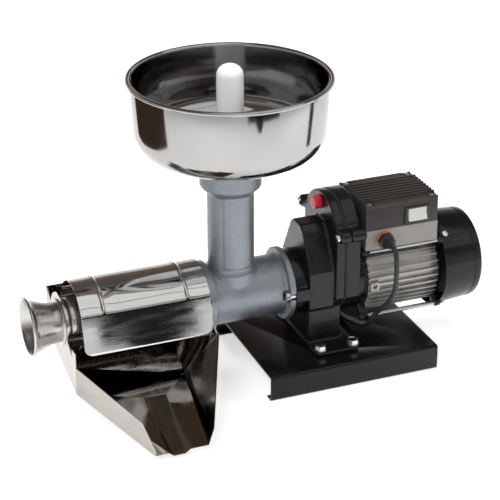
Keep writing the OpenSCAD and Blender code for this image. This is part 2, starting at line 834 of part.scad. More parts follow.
module auger() color("#d9d9d4") place() {
    feed_r = tube_bore_r - auger_play;
    press_r = screen_big_r - screen_t - 2 * auger_play;
    press_end_r = screen_small_r - screen_t - 2 * auger_play;
    feed_x = screen_x0 + body_flight_len + over;
    difference() {
        union() {
            spun_x() polygon([[0, screen_x0 - cone_flight_len], [auger_tip_root_r,
                screen_x0 - cone_flight_len],
                [auger_root_r, screen_x0], [auger_root_r, seal_x - gap], [0, seal_x - gap]]);
            flight(feed_x, body_flight_len, body_twist, 1, feed_r);
            flight(screen_x0 + over, cone_flight_len, cone_twist, press_end_r / press_r, press_r);
            rod_x(screen_x0 - cone_flight_len - auger_nose_len, auger_nose_len + over, auger_nose_r);
        }
        rod_x(shaft_x - gap, seal_x - shaft_x + over, shaft_r + seat_fit);
    }
}

module auger_seal() color("#2a2a2a") place()
    ring_x(seal_x, seal_len, tube_bore_r - seat_fit, shaft_r + seat_fit);

// Screen and waste outlet
module screen_cone() color("#c4c6c8") place() spun_x() {
    end_x = screen_x0 - screen_len;
    tip_r = screen_small_r - screen_tip_in;
    polygon([[screen_big_r - screen_t, screen_x0 + socket_len - gap], [screen_big_r + gap, screen_x0
        + socket_len - gap],
        [screen_big_r + gap, screen_x0], [screen_big_r, screen_x0], [screen_small_r, end_x], [tip_r, end_x],
        [tip_r, end_x - screen_tip_len], [tip_r - screen_t, end_x - screen_tip_len],
        [tip_r - screen_t, end_x + screen_t], [screen_small_r - screen_t, end_x + screen_t],
        [screen_big_r - screen_t, screen_x0]]);
}

module outlet_ring() color("#b4b6ba") place() spun_x() {
    tip_r = screen_small_r - screen_tip_in + seat_fit;
    step = screen_tip_len + gap;
    polygon([[outlet_neck_r + seat_fit, clamp_x], [clamp_r, clamp_x], [clamp_r, clamp_x + clamp_len],
        [tip_r, clamp_x + clamp_len], [tip_r, clamp_x + clamp_len - step],
        [outlet_neck_r + seat_fit, clamp_x + clamp_len - step]]);
}

module waste_outlet() color("#c9c9c6") place() spun_x() {
    inner = outlet_neck_r - sheet_t;
    mouth = outlet_mouth_r - outlet_bead_r;
    neck_end = clamp_x + clamp_len - screen_tip_len - 2 * gap;
    polygon(concat([[inner, neck_end], [outlet_neck_r, neck_end], [outlet_neck_r,
        clamp_x - outlet_len * outlet_neck_share]],
        [for (i = [0:arc_steps]) let (a = 30 - 240 * i / arc_steps)
            [mouth + outlet_bead_r * cos(a), mouth_x + outlet_bead_r * sin(a)]],
        [[inner, clamp_x - outlet_len * outlet_neck_share]]));
}

// Cover: a rolled sheet with two pressed beads, a hooked back edge and a flat flap in front
function cover_spot(r, turn) = [-r * sin(turn), axis_z + r * cos(turn)];
module splash_cover() color("#d4d6d8") place() {
    back_r = cover_r - sheet_t;
    back_turn = asin(cover_back_rise / cover_r) - 90;
    difference() {
        union() {
            rod_x(cover_x, cover_len, cover_r);
            for (x = [cover_x + cover_bead_in, cover_x + cover_len - cover_bead_in])
                rod_x(x - cover_bead_w / 2, cover_bead_w, cover_r + cover_bead_t);
        }
        hole_x(cover_x, cover_len, back_r);
        along_x(cover_x - over, cover_len + 2 * over) polygon([[0, axis_z], cover_spot(3 * cover_r, cover_turn),
            [-3 * cover_r, axis_z - 2 * cover_r], [3 * cover_r, axis_z - 2 * cover_r],
            cover_spot(3 * cover_r, back_turn)]);
    }
    intersection() {
        along_x(cover_x, cover_len) polygon([cover_spot(cover_r, cover_turn), [-flap_out, flap_z],
            [sheet_t - flap_out, flap_z], cover_spot(back_r, cover_turn),
            cover_spot(cover_r - sheet_t / 2, cover_turn - 1)]);
        translate([cover_x, 0, flap_z]) rotate([90, 0, 0]) linear_extrude(2 * cover_r)
            round_rect(cover_len, 2 * cover_r, flap_corner_r);
    }
    rod_x(cover_x, cover_len, hook_r, cover_r + hook_r - seat_fit, cover_back_z);
}

// Chute: a trough bent from one sheet, two end plates and a funnel of flat panels
trough_span = norm([crease_y - trough_y, crease_z - axis_z]);
trough_end = atan2(crease_z - axis_z, crease_y - trough_y) + acos(trough_r / trough_span);
function trough_arc(r, steps) = [for (i = [0:steps]) let (a = trough_end * i / steps)
    [trough_y + r * cos(a), axis_z + r * sin(a)]];
function axis_arc(r, from, to) = [for (i = [0:arc_steps]) let (a = from + (to - from) * i / arc_steps)
    [r * cos(a), axis_z + r * sin(a)]];
module sheet(points) hull() for (p = points) translate(p) sphere(d = sheet_t, $fn = 8);

module end_plate(front, r, from) polygon(concat([[chute_back, wall_top_z]], trough_arc(trough_r, arc_steps),
    [[crease_y, crease_z]], front, axis_arc(r, from, 20)));

module sauce_chute() color("#cfd1d3") place() {
    inner_r = trough_r - sheet_t;
    mid_z = chute_tip_z;
    along_x(chute_x0, chute_x1 + sheet_t - chute_x0) polygon(concat([[chute_back, wall_top_z]],
        trough_arc(trough_r, arc_steps), [[crease_y, crease_z], [crease_y, crease_z + sheet_t]],
        [for (i = [arc_steps:-1:0]) trough_arc(inner_r, arc_steps)[i]], [[chute_back - sheet_t,
            wall_top_z]]));
    difference() {
        along_x(chute_x0, sheet_t) end_plate([[crease_y, crease_z + left_wall_h], [crease_y, tab_z],
            [crease_y + tab_w, tab_z], [crease_y + tab_w, tab_foot_z]], clamp_r + gap + ring_wid, 200);
        hole_x(chute_x0, sheet_t, clamp_r + gap);
    }
    difference() {
        along_x(chute_x1, sheet_t) end_plate([[crease_y, corner_top_z]], cover_r - sheet_t - gap, 190);
        hole_x(chute_x1, sheet_t, screen_big_r + 2 * gap);
    }
    difference() {
        union() {
            sheet([[chute_x0 + sheet_t / 2, crease_y, crease_z + sheet_t / 2], [floor_x1, crease_y,
                crease_z + sheet_t / 2],
                [lip_x0, -chute_reach, mid_z], [lip_x1, -chute_reach, mid_z]]);
            channel(0, 0);
        }
        channel(sheet_t, over);
    }
    sheet([[chute_x0 + sheet_t / 2, crease_y, crease_z + sheet_t / 2],
        [chute_x0 + sheet_t / 2, crease_y, crease_z + left_wall_h],
        [lip_x0, -chute_reach, mid_z], [lip_x0, -chute_reach, mid_z + left_tip_h],
        [chute_x0 + (lip_x0 - chute_x0 - sheet_t) * left_wall_share, crease_y - (chute_reach + crease_y) * left_wall_share,
            crease_z + left_wall_h + (mid_z + lip_wall_h - crease_z - left_wall_h) * left_wall_share]]);
    sheet([[floor_x1, crease_y, crease_z + sheet_t / 2], [corner_x, crease_y, corner_top_z],
        [lip_x1, -chute_reach, mid_z], [lip_x1 + tab_w / 2, -chute_reach, mid_z + lip_right_h]]);
    sheet([[corner_floor_x, trough_y, axis_z - trough_r + sheet_t], [floor_x1, crease_y, crease_z
        + sheet_t / 2],
        [corner_x - sheet_t, crease_y, corner_top_z]]);
}

// Pressed channel in the chute's floor: a wedge that deepens to the tip, and the same wedge lifted to hollow it
module channel(lift, run) {
    slope = (crease_z - chute_tip_z) / (chute_reach + crease_y);
    start_z = crease_z + slope * (rib_start_y - crease_y) + lift;
    tip_z = chute_tip_z - slope * run + lift;
    sheet([[rib_mid_x - rib_half, rib_start_y, start_z], [rib_mid_x + rib_half, rib_start_y, start_z],
        [rib_mid_x - rib_half, -chute_reach - run, tip_z], [rib_mid_x + rib_half, -chute_reach - run,
        tip_z],
        [rib_mid_x - rib_half / 2, -chute_reach - run, tip_z - chute_rib],
        [rib_mid_x + rib_half / 2, -chute_reach - run, tip_z - chute_rib]]);
}

// Bowl: one sheet turned from the neck through the floor and corner to the rolled rim
module bowl_profile() {
    wall_r = bowl_r - bowl_taper;
    corner_in = bowl_corner_r - bowl_t;
    polygon(concat([[neck_r - bowl_t, neck_z + gap], [neck_r, neck_z + gap], [neck_r,
        bowl_floor_z - bowl_t]],
        [for (i = [0:arc_steps]) let (a = -90 + 90 * i / arc_steps)
            [wall_r - bowl_corner_r + bowl_corner_r * cos(a), bowl_floor_z - bowl_t
            + bowl_corner_r * (1 + sin(a))]],
        [[bowl_r, rim_z], [bowl_r - bowl_t, rim_z]],
        [for (i = [arc_steps:-1:0]) let (a = -90 + 90 * i / arc_steps)
            [wall_r - bowl_corner_r + corner_in * cos(a), bowl_floor_z - bowl_t + bowl_corner_r
            + corner_in * sin(a)]],
        [[neck_r - bowl_t, bowl_floor_z]]));
    translate([bowl_r - bowl_t, rim_z - bowl_t]) square([rim_r - bowl_r + bowl_t, bowl_t]);
    translate([rim_r, rim_z]) circle(rim_bead_r);
}

module hopper_bowl() color("#d9d6d0") place() translate([column_x, 0, 0]) rotate_extrude() bowl_profile();

module pusher() color("#f4f4f2") place() translate([column_x, 0, 0]) rotate_extrude() {
    stem_r = pusher_d / 2;
    foot_r = column_bore_r - pusher_foot_gap;
    polygon(concat([[0, pusher_z], [foot_r, pusher_z], [foot_r, pusher_z + pusher_foot_len],
        [stem_r, pusher_z + pusher_foot_len + foot_r - stem_r]],
        [for (i = [0:arc_steps / 2]) let (a = 90 * i / (arc_steps / 2))
            [stem_r - pusher_round_r + pusher_round_r * cos(a), pusher_top_z - pusher_round_r
            + pusher_round_r * sin(a)]],
        [[0, pusher_top_z]]));
}

// Motor
module stator_housing() color("#b3b1ab") place() difference() {
    pad_z = axis_z - fin_t;
    union() {
        along_x(barrel_x, barrel_run) translate([0, axis_z]) {
            circle(barrel_r);
            for (a = [0:fin_step:359]) if (abs(a - 90) > fin_clear)
                rotate(a) translate([barrel_r - barrel_wall / 2, -fin_t / 2]) square([fin_h
                + barrel_wall / 2, fin_t]);
        }
        block([pad_x, -pad_out, pad_z - pad_size / 2], [pad_x + pad_size, barrel_wall - barrel_r, pad_z
            + pad_size / 2]);
    }
    hole_x(barrel_x, barrel_run, barrel_r - barrel_wall);
    rod_y(-pad_out - over, fin_h + over, pad_hole_r, pad_x + pad_size / 2, pad_z);
}

module stator_core() color("#6e6f72") place()
    ring_x(core_x, core_len, barrel_r - barrel_wall - seat_fit, core_bore_r);
module stator_windings() color("#a3562c") place() for (x = [core_x - winding_len, core_x + core_len])
    ring_x(x, winding_len, winding_r, winding_bore_r);
module rotor() color("#86888b") place() ring_x(core_x, core_len, rotor_r, motor_shaft_r + seat_fit);
module rotor_shaft() color("#8f9296") place()
    rod_x(rotor_shaft_x, fan_x + fan_len + over - rotor_shaft_x, motor_shaft_r);

module rod_lugs(x, len) along_x(x, len) translate([0, axis_z]) for (a = [45:90:315]) rotate(a) {
    translate([rod_off * sqrt(2), 0]) circle(lug_r);
    translate([seat_r / 2, -lug_web / 2]) square([rod_off * sqrt(2) - seat_r / 2, lug_web]);
}
module rod_holes(x, len) for (y = [-rod_off, rod_off], z = [axis_z - rod_off, axis_z + rod_off])
    hole_x(x, len, rod_r + seat_fit, y, z);

module front_shield() color("#1a1a1b") place() difference() {
    union() {
        rod_x(shield_x, front_shield_len, seat_r);
        rod_lugs(barrel_x - lug_len, lug_len);
    }
    rod_holes(barrel_x - lug_len, lug_len);
    rod_x(barrel_x - motor_bearing_len, motor_bearing_len + over, motor_bearing_r + seat_fit);
    hole_x(shield_x, front_shield_len, shaft_hole_r);
}

module rear_shield() color("#1a1a1b") place() difference() {
    union() {
        rod_x(rear_shield_x, rear_shield_len, barrel_r);
        rod_x(rear_shield_x - motor_bearing_len + rear_shield_len, motor_bearing_len, motor_bearing_r
            + barrel_wall);
        rod_lugs(rear_shield_x, rear_shield_len);
        for (a = cover_screw_angles) translate([rear_shield_x, 0, axis_z]) rotate([-a, 0, 0])
            translate([0, -cover_tab_r, -cover_tab_w / 2])
                cube([rear_shield_len + cover_tab_len, cover_tab_t, cover_tab_w]);
        for (a = cover_screw_angles) translate([rear_shield_x, 0, axis_z]) rotate([-a, 0, 0])
            translate([0, -cover_tab_r, -cover_tab_w / 2])
                cube([rear_shield_len, cover_tab_r - barrel_r + over, cover_tab_w]);
    }
    rod_holes(rear_shield_x, rear_shield_len);
    hole_x(rear_shield_x - motor_bearing_len + rear_shield_len, motor_bearing_len, motor_bearing_r
        + seat_fit);
    for (a = cover_screw_angles) cover_screw_hole(a);
}

module cover_screw_hole(a) translate([fan_cover_x + cover_tab_len / 2, 0, axis_z]) rotate([-a, 0, 0])
    rod_y(-fan_cover_r - over, 2 * cover_tab_t + over, cover_screw_r + seat_fit, 0, 0);

module motor_bearings() color("#a7a9ad") place()
    for (x = [barrel_x - motor_bearing_len, rear_shield_x + rear_shield_len - motor_bearing_len])
        ring_x(x, motor_bearing_len, motor_bearing_r, motor_shaft_r + seat_fit);

module cooling_fan() color("#26272a") place() difference() {
    union() {
        rod_x(fan_x, fan_disc_t, fan_r);
        along_x(fan_x, fan_len) translate([0, axis_z]) {
            circle(fan_hub_r);
            for (k = [0:fan_blades - 1]) rotate(360 * (k + 0.5) / fan_blades)
                translate([motor_shaft_r + fan_disc_t, -fan_disc_t / 2])
                    square([fan_r - motor_shaft_r - 2 * fan_disc_t, fan_disc_t]);
        }
    }
    hole_x(fan_x, fan_len, motor_shaft_r + seat_fit);
}

module fan_cover() color("#18181a") place() difference() {
    rear_r = fan_cover_r - fan_cover_lean;
    edge_in = fan_cover_edge_r - fan_cover_t;
    spun_x() polygon(concat([[fan_cover_r - fan_cover_t, fan_cover_x], [fan_cover_r, fan_cover_x]],
        [for (i = [0:arc_steps / 2]) let (a = 90 * i / (arc_steps / 2))
            [rear_r - fan_cover_edge_r + fan_cover_edge_r * cos(a), fan_end_x - fan_cover_edge_r
            + fan_cover_edge_r * sin(a)]],
        [[0, fan_end_x], [0, fan_end_x - fan_cover_t]],
        [for (i = [arc_steps / 2:-1:0]) let (a = 90 * i / (arc_steps / 2))
            [rear_r - fan_cover_edge_r + edge_in * cos(a), fan_end_x - fan_cover_edge_r
            + edge_in * sin(a)]]));
    for (k = [0:grille_slots - 1]) translate([fan_end_x - fan_cover_t - over, 0, axis_z])
        rotate([360 * (k + 0.5) / grille_slots, 0, 0]) translate([0, grille_r0, -grille_w / 2])
            cube([fan_cover_t + 2 * over, grille_r1 - grille_r0, grille_w]);
    for (a = cover_screw_angles) cover_screw_hole(a);
}

module fan_cover_screws() color("#c9cbcf") place() for (a = cover_screw_angles)
    translate([fan_cover_x + cover_tab_len / 2, 0, axis_z]) rotate([-a, 0, 0]) {
        rod_y(-fan_cover_r - cover_screw_head_h, cover_screw_head_h, cover_screw_head_r, 0, 0);
        rod_y(-fan_cover_r - over, cover_tab_t + over, cover_screw_r, 0, 0);
    }

module tie_rods() color("#cdd0d3") place() for (y = [-rod_off, rod_off], z = [axis_z - rod_off, axis_z
    + rod_off])
    rod_x(barrel_x - lug_len, lug_len + barrel_run + rear_shield_len, rod_r, y, z);

// Terminal base, control box and switch
module terminal_base() color("#bdbcb8") place() difference() {
    union() {
        block([plinth_x, -plinth_wid / 2, plinth_z0], [plinth_x + box_len, plinth_wid / 2, box_z]);
        block([barrel_x + over, -neck_half, axis_z], [plinth_x + box_len - over, neck_half, plinth_z0
            + over]);
    }
    block([plinth_x + plinth_wall, plinth_wall - plinth_wid / 2, axis_z + barrel_r + plinth_wall],
        [plinth_x + box_len - plinth_wall, plinth_wid / 2 - plinth_wall, box_z + over]);
    hole_x(plinth_x, box_len, barrel_r + seat_fit);
    rod_y(-plinth_wid / 2 - over, gland_thread_len + over, gland_thread_r + seat_fit, gland_x, gland_z);
}

module control_box() color("#4a4642") place() difference() {
    block([box_x, box_y0, box_z], [box_x + box_len, box_y1, box_z + box_h]);
    block([box_x + box_wall, box_y0 + box_wall, box_z + box_wall],
        [box_x + box_len - box_wall, box_y1 - box_wall, box_z + box_h + over]);
    block([switch_mid_x - switch_w / 2 + switch_rim - gap, box_y0 - over, switch_mid_z - rocker_room - gap],
        [switch_mid_x + switch_w / 2 - switch_rim + gap, box_y0 + box_wall + over, switch_mid_z
        + rocker_room + gap]);
}

module capacitor() color("#d8d8d4") place()
    rod_x(box_x + box_wall + lid_screw_in, cap_len, cap_r, cap_y, box_z + box_wall + cap_r);

module box_lid() color("#4a4642") place() difference() {
    z0 = box_z + box_h;
    top = z0 + lid_h - lid_rib_h;
    rib_run = box_wid - 2 * lid_rib_in;
    rib_step = rib_run / lid_ribs;
    union() {
        block([box_x, box_y0, z0], [box_x + box_len, box_y1, top]);
        for (k = [0:lid_ribs - 1]) block([box_x, box_y0 + lid_rib_in + rib_step * k, top - over],
            [box_x + box_len, box_y0 + lid_rib_in + rib_step * (k + lid_rib_share), z0 + lid_h]);
    }
    for (p = lid_screw_places()) {
        rod_z(z0 - over, lid_h + 2 * over, lid_screw_r + seat_fit, p.x, p.y);
        rod_z(top - over, lid_rib_h + 2 * over, lid_notch_r, p.x, p.y);
        rod_z(top - lid_screw_head_h, lid_screw_head_h + over, lid_screw_head_r + gap, p.x, p.y);
    }
}

function lid_screw_places() = [for (x = [box_x + lid_screw_in, box_x + box_len - lid_screw_in],
    y = [box_y0 + lid_screw_in, box_y1 - lid_screw_in]) [x, y]];

module lid_screws() color("#8d8f92") place() for (p = lid_screw_places()) {
    top = box_z + box_h + lid_h - lid_rib_h;
    rod_z(top - lid_screw_head_h, lid_screw_head_h, lid_screw_head_r, p.x, p.y);
    rod_z(top - lid_screw_len, lid_screw_len - over, lid_screw_r, p.x, p.y);
}

module switch_frame() color("#101012") place() difference() {
    half = switch_w / 2;
    room = half - switch_rim;
    union() {
        block([switch_mid_x - half, box_y0 - switch_out, switch_mid_z - switch_h / 2],
            [switch_mid_x + half, box_y0, switch_mid_z + switch_h / 2]);
        block([switch_mid_x - room, box_y0 - over, switch_mid_z - rocker_room],
            [switch_mid_x + room, box_y0 + switch_depth, switch_mid_z + rocker_room]);
    }
    block([switch_mid_x - room + switch_rim, box_y0 - switch_out - over, switch_mid_z - rocker_room + gap],
        [switch_mid_x + room - switch_rim, box_y0 + switch_depth - switch_rim, switch_mid_z
        + rocker_room - gap]);
    rod_x(switch_mid_x - room, 2 * room, rocker_pin_r + seat_fit, rocker_y, switch_mid_z);
}

module switch_rocker() color("#d8d4cc") place() translate([0, rocker_y, switch_mid_z]) {
    half = switch_w / 2 - 2 * switch_rim - gap;
    translate([switch_mid_x - half, 0, 0]) rotate([-rocker_travel / 2, 0, 0]) rotate([90, 0, 90])
        linear_extrude(2 * half) polygon([[-rocker_nose, rocker_half], [-rocker_nose + rocker_dip, 0],
            [-rocker_nose, -rocker_half], [rocker_in, -rocker_half / 2], [rocker_back, 0], [rocker_in,
            rocker_half / 2]]);
    rod_x(switch_mid_x - half - rocker_pin_len, 2 * half + 2 * rocker_pin_len, rocker_pin_r, 0, 0);
}

// Gland, cord and plug
module gland_washer() color("#c8502a") place() difference() {
    rod_y(box_y0 - gland_washer_t, gland_washer_t, gland_washer_r, gland_x, gland_z);
    rod_y(box_y0 - gland_washer_t - over, gland_washer_t + 2 * over, gland_thread_r + seat_fit, gland_x,
        gland_z);
}

module cable_gland() color("#1c1c1e") place() {
    hex_y = box_y0 - gland_washer_t - gland_hex_len;
    translate([gland_x, box_y0 - gland_washer_t, gland_z]) rotate([90, 0, 0])
        linear_extrude(gland_hex_len) hexagon(gland_af);
    translate([gland_x, hex_y + over, gland_z]) rotate([90, 0, 0])
        cylinder(h = gland_nose_len + over, r1 = gland_nose_r, r2 = gland_tip_r);
    rod_y(hex_y + over, gland_hex_len + gland_washer_t + gland_thread_len - over - gap, gland_thread_r,
        gland_x, gland_z);
}

module mains_cord() color("#1a1a1b") place() swept(cord_route, [1, 0, 0], cord_d / 2, cord_sides);
module cord_coil() color("#1a1a1b") place() swept(coil_points, [0, 0, 1], cord_d / 2, coil_sides);
module cord_tail() color("#1a1a1b") place() swept(tail_points, [0, 1, 0], cord_d / 2, cord_sides);

module coil_tie() color("#3b3c40") place() difference() {
    in_x = coil_x + coil_in_r - cord_d / 2 - gap;
    out_x = coil_x + coil_r + cord_d / 2 - gap;
    top_z = coil_z0 + coil_pitch + cord_d / 2 + gap;
    block([in_x - tie_t, coil_y - tie_w / 2, 0], [out_x + tie_t, coil_y + tie_w / 2, top_z + tie_t]);
    block([in_x, coil_y - tie_w / 2 - over, tie_t], [out_x, coil_y + tie_w / 2 + over, top_z]);
}

module plug_body() color("#1a1a1b") place() {
    translate([plug_x, plug_y0, plug_rest_r]) rotate([0, 90, 0])
        cylinder(h = plug_grip_len + over, r1 = plug_grip_r, r2 = plug_flare_share * plug_grip_r);
    rod_x(plug_x + plug_grip_len, plug_len - plug_grip_len, plug_rest_r, plug_y0, plug_rest_r);
}

module plug_pins() color("#c9cbcf") place() for (s = [-1, 1])
    rod_x(plug_x + plug_len, pin_len, pin_r, plug_y0 + s * pin_half, plug_rest_r);

base_plate();
foot_bolts();
foot_nuts();
gearbox_front_case();
gearbox_rear_case();
case_gasket();
case_screws();
oil_plug();
body_adapter_ring();
output_bearing_front();
output_bearing_rear();
output_shaft();
output_gear();
countershaft();
countershaft_gear();
countershaft_pinion();
countershaft_bushes();
motor_pinion();
strainer_body();
body_bolts();
auger();
auger_seal();
screen_cone();
outlet_ring();
waste_outlet();
splash_cover();
sauce_chute();
hopper_bowl();
pusher();
stator_housing();
stator_core();
stator_windings();
rotor();
rotor_shaft();
front_shield();
rear_shield();
motor_bearings();
cooling_fan();
fan_cover();
fan_cover_screws();
tie_rods();
terminal_base();
control_box();
capacitor();
box_lid();
lid_screws();
switch_frame();
switch_rocker();
cable_gland();
gland_washer();
mains_cord();
cord_coil();
coil_tie();
cord_tail();
plug_body();
plug_pins();
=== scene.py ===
import bmesh
import bpy
import math
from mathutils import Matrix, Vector


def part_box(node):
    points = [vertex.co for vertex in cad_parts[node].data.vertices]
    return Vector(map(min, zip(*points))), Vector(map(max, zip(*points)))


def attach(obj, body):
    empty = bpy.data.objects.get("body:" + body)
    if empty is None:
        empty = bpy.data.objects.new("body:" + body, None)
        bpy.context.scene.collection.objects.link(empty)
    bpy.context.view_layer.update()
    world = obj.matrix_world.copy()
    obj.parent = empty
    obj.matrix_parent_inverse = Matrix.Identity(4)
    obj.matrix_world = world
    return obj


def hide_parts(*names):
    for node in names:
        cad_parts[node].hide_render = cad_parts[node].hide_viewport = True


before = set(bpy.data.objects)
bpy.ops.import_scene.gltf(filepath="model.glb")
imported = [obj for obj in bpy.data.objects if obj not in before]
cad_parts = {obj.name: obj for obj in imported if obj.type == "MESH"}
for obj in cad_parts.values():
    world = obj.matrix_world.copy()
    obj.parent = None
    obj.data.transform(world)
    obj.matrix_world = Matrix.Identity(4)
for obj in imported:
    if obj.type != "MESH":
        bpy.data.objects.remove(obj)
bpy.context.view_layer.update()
scene = bpy.context.scene
scene.view_settings.view_transform = "Standard"
bpy.ops.object.select_all(action="DESELECT")

# Places are in millimetres from the base plate's left end, the drive's upright plane and the table
mm = 0.001
baseLow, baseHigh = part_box("base_plate")
origin = Vector((baseLow.x, (baseLow.y + baseHigh.y) / 2, 0.0))
drive = {"axisZ": 115.0, "screenX": -60.0, "clampX": -251.3, "columnX": -15.3}
print("frame loaded", len(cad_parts), "nodes")


def at(x, y, z):
    return origin + Vector((x, y, z)) * mm


# Camera at the photograph's angle
look = {"azimuth": -21.6, "elevation": 25.6, "distance": 2.2628, "lens": 124.7, "aim": (11.5, 0, 170.2)}
turn, rise = math.radians(look["azimuth"]), math.radians(look["elevation"])
back = Vector((math.sin(turn) * math.cos(rise), -math.cos(turn) * math.cos(rise), math.sin(rise)))
bpy.ops.object.camera_add(location=at(*look["aim"]) + back * look["distance"],
                          rotation=(-back).to_track_quat("-Z", "Y").to_euler())
camera = bpy.context.object
camera.data.lens = look["lens"]
scene.camera = camera


# Finishes: clouds of colour and gloss, and a fine grain, all on Object coordinates
texture = {"low": 0.3, "high": 0.7, "cloudDetail": 6.0, "grainDetail": 3.0, "bumpDepth": 0.0004,
           "poreScale": 0.6, "poreEdge": 0.35, "coatRoughness": 0.08}


def finish(name, colour, roughness, metallic=0.0, coat=0.0, cloud=0.08, cloudScale=25.0, grain=0.0,
           grainScale=700.0, stretch=(1, 1, 1), glossCloud=0.25, speck=0.0, specular=0.5):
    material = bpy.data.materials.new(name)
    material.use_nodes = True
    nodes, links = material.node_tree.nodes, material.node_tree.links
    shader = nodes["Principled BSDF"]
    shader.inputs["Metallic"].default_value = metallic
    shader.inputs["Coat Weight"].default_value = coat
    shader.inputs["Coat Roughness"].default_value = texture["coatRoughness"]
    shader.inputs["Specular IOR Level"].default_value = specular
    place = nodes.new("ShaderNodeTexCoord")
    mapping = nodes.new("ShaderNodeMapping")
    mapping.inputs["Scale"].default_value = stretch
    links.new(place.outputs["Object"], mapping.inputs["Vector"])
    clouds = nodes.new("ShaderNodeTexNoise")
    clouds.inputs["Scale"].default_value = cloudScale
    clouds.inputs["Detail"].default_value = texture["cloudDetail"]
    links.new(mapping.outputs["Vector"], clouds.inputs["Vector"])
    tint = nodes.new("ShaderNodeValToRGB")
    low, high = tint.color_ramp.elements
    low.position, high.position = texture["low"], texture["high"]
    low.color = [*[c * (1 - cloud) for c in colour], 1]
    high.color = [*[min(1, c * (1 + cloud)) for c in colour], 1]
    links.new(clouds.outputs["Fac"], tint.inputs["Fac"])
    links.new(tint.outputs["Color"], shader.inputs["Base Color"])
    gloss = nodes.new("ShaderNodeMapRange")
    gloss.inputs["From Min"].default_value = texture["low"]
    gloss.inputs["From Max"].default_value = texture["high"]
    gloss.inputs["To Min"].default_value = roughness * (1 - glossCloud)
    gloss.inputs["To Max"].default_value = roughness * (1 + glossCloud)
    links.new(clouds.outputs["Fac"], gloss.inputs["Value"])
    links.new(gloss.outputs["Result"], shader.inputs["Roughness"])
    if grain:
        fine = nodes.new("ShaderNodeTexNoise")
        fine.inputs["Scale"].default_value = grainScale
        fine.inputs["Detail"].default_value = texture["grainDetail"]
        links.new(mapping.outputs["Vector"], fine.inputs["Vector"])
        bump = nodes.new("ShaderNodeBump")
        bump.inputs["Strength"].default_value = grain
        bump.inputs["Distance"].default_value = texture["bumpDepth"]
        links.new(fine.outputs["Fac"], bump.inputs["Height"])
        links.new(bump.outputs["Normal"], shader.inputs["Normal"])
    if speck:  # darker pores, as in a sand casting
        pores = nodes.new("ShaderNodeTexVoronoi")
        pores.inputs["Scale"].default_value = grainScale * texture["poreScale"]
        links.new(mapping.outputs["Vector"], pores.inputs["Vector"])
        depth = nodes.new("ShaderNodeMapRange")
        depth.inputs["From Max"].default_value = texture["poreEdge"]
        depth.inputs["To Min"].default_value = 1 - speck
        links.new(pores.outputs["Distance"], depth.inputs["Value"])
        darken = nodes.new("ShaderNodeMix")
        darken.data_type, darken.blend_type = "RGBA", "MULTIPLY"
        darken.inputs["Factor"].default_value = 1.0
        links.new(tint.outputs["Color"], darken.inputs["A"])
        links.new(depth.outputs["Result"], darken.inputs["B"])
        links.new(darken.outputs["Result"], shader.inputs["Base Color"])
    return material


def sheetSteel(name, colour, roughness, lines, lineScale):  # polished sheet with faint rolling lines
    return finish(name, colour, roughness, metallic=1.0, cloud=0.05, cloudScale=18.0, grain=0.02,
                  grainScale=lineScale, stretch=lines, glossCloud=0.5)


mirrorSteel = sheetSteel("mirrorSteel", (0.41, 0.407, 0.402), 0.09, (1, 1, 1), 220.0)
coverSteel = sheetSteel("coverSteel", (0.64, 0.635, 0.63), 0.07, (1, 6, 6), 160.0)
chuteSteel = sheetSteel("chuteSteel", (0.41, 0.392, 0.368), 0.12, (6, 1, 6), 160.0)
brushedSteel = sheetSteel("brushedSteel", (0.54, 0.53, 0.52), 0.24, (90, 1, 1), 30.0)
screenSteel = sheetSteel("screenSteel", (0.62, 0.61, 0.60), 0.24, (1, 1, 1), 300.0)
castAluminium = finish("castAluminium", (0.27, 0.295, 0.32), 0.40, metallic=0.75, cloud=0.12,
                       cloudScale=40.0, grain=1.0, grainScale=800.0, speck=0.40)
motorAluminium = finish("motorAluminium", (0.37, 0.36, 0.345), 0.36, metallic=0.75, cloud=0.12,
                        cloudScale=60.0, grain=0.5, grainScale=900.0)
caseBlack = finish("caseBlack", (0.006, 0.006, 0.007), 0.26, coat=0.2, cloud=0.25, cloudScale=30.0,
                   grain=0.35, grainScale=420.0, specular=0.28)
glossBlack = finish("glossBlack", (0.005, 0.005, 0.006), 0.15, coat=0.1, cloud=0.25, cloudScale=20.0,
                    grain=0.10, grainScale=160.0, specular=0.28)
baseBlack = finish("baseBlack", (0.004, 0.004, 0.0045), 0.22, coat=0.05, cloud=0.3, cloudScale=16.0,
                   grain=0.20, grainScale=260.0, specular=0.25)
boxPlastic = finish("boxPlastic", (0.026, 0.023, 0.021), 0.52, cloud=0.10, grain=0.5, grainScale=1500.0)
basePlastic = finish("basePlastic", (0.27, 0.26, 0.245), 0.45, metallic=0.3, cloud=0.08, grain=0.5,
                     grainScale=900.0)
blackPlastic = finish("blackPlastic", (0.016, 0.016, 0.017), 0.33, cloud=0.2, grain=0.25, grainScale=1200.0)
fanPlastic = finish("fanPlastic", (0.030, 0.031, 0.034), 0.45, cloud=0.15, grain=0.2, grainScale=900.0)
capPlastic = finish("capPlastic", (0.70, 0.70, 0.67), 0.35, cloud=0.04, grain=0.1, grainScale=900.0)
pusherPlastic = finish("pusherPlastic", (0.93, 0.93, 0.92), 0.36, cloud=0.02, cloudScale=12.0, grain=0.12,
                       grainScale=500.0)
screwPlastic = finish("screwPlastic", (0.72, 0.72, 0.69), 0.40, cloud=0.05, grain=0.15, grainScale=500.0)
rockerPlastic = finish("rockerPlastic", (0.60, 0.59, 0.56), 0.32, cloud=0.04, grain=0.1, grainScale=900.0)
plugRed = finish("plugRed", (0.86, 0.02, 0.055), 0.30, cloud=0.12, grain=0.2, grainScale=500.0)
sealOrange = finish("sealOrange", (0.62, 0.10, 0.03), 0.45, cloud=0.1, grain=0.2, grainScale=900.0)
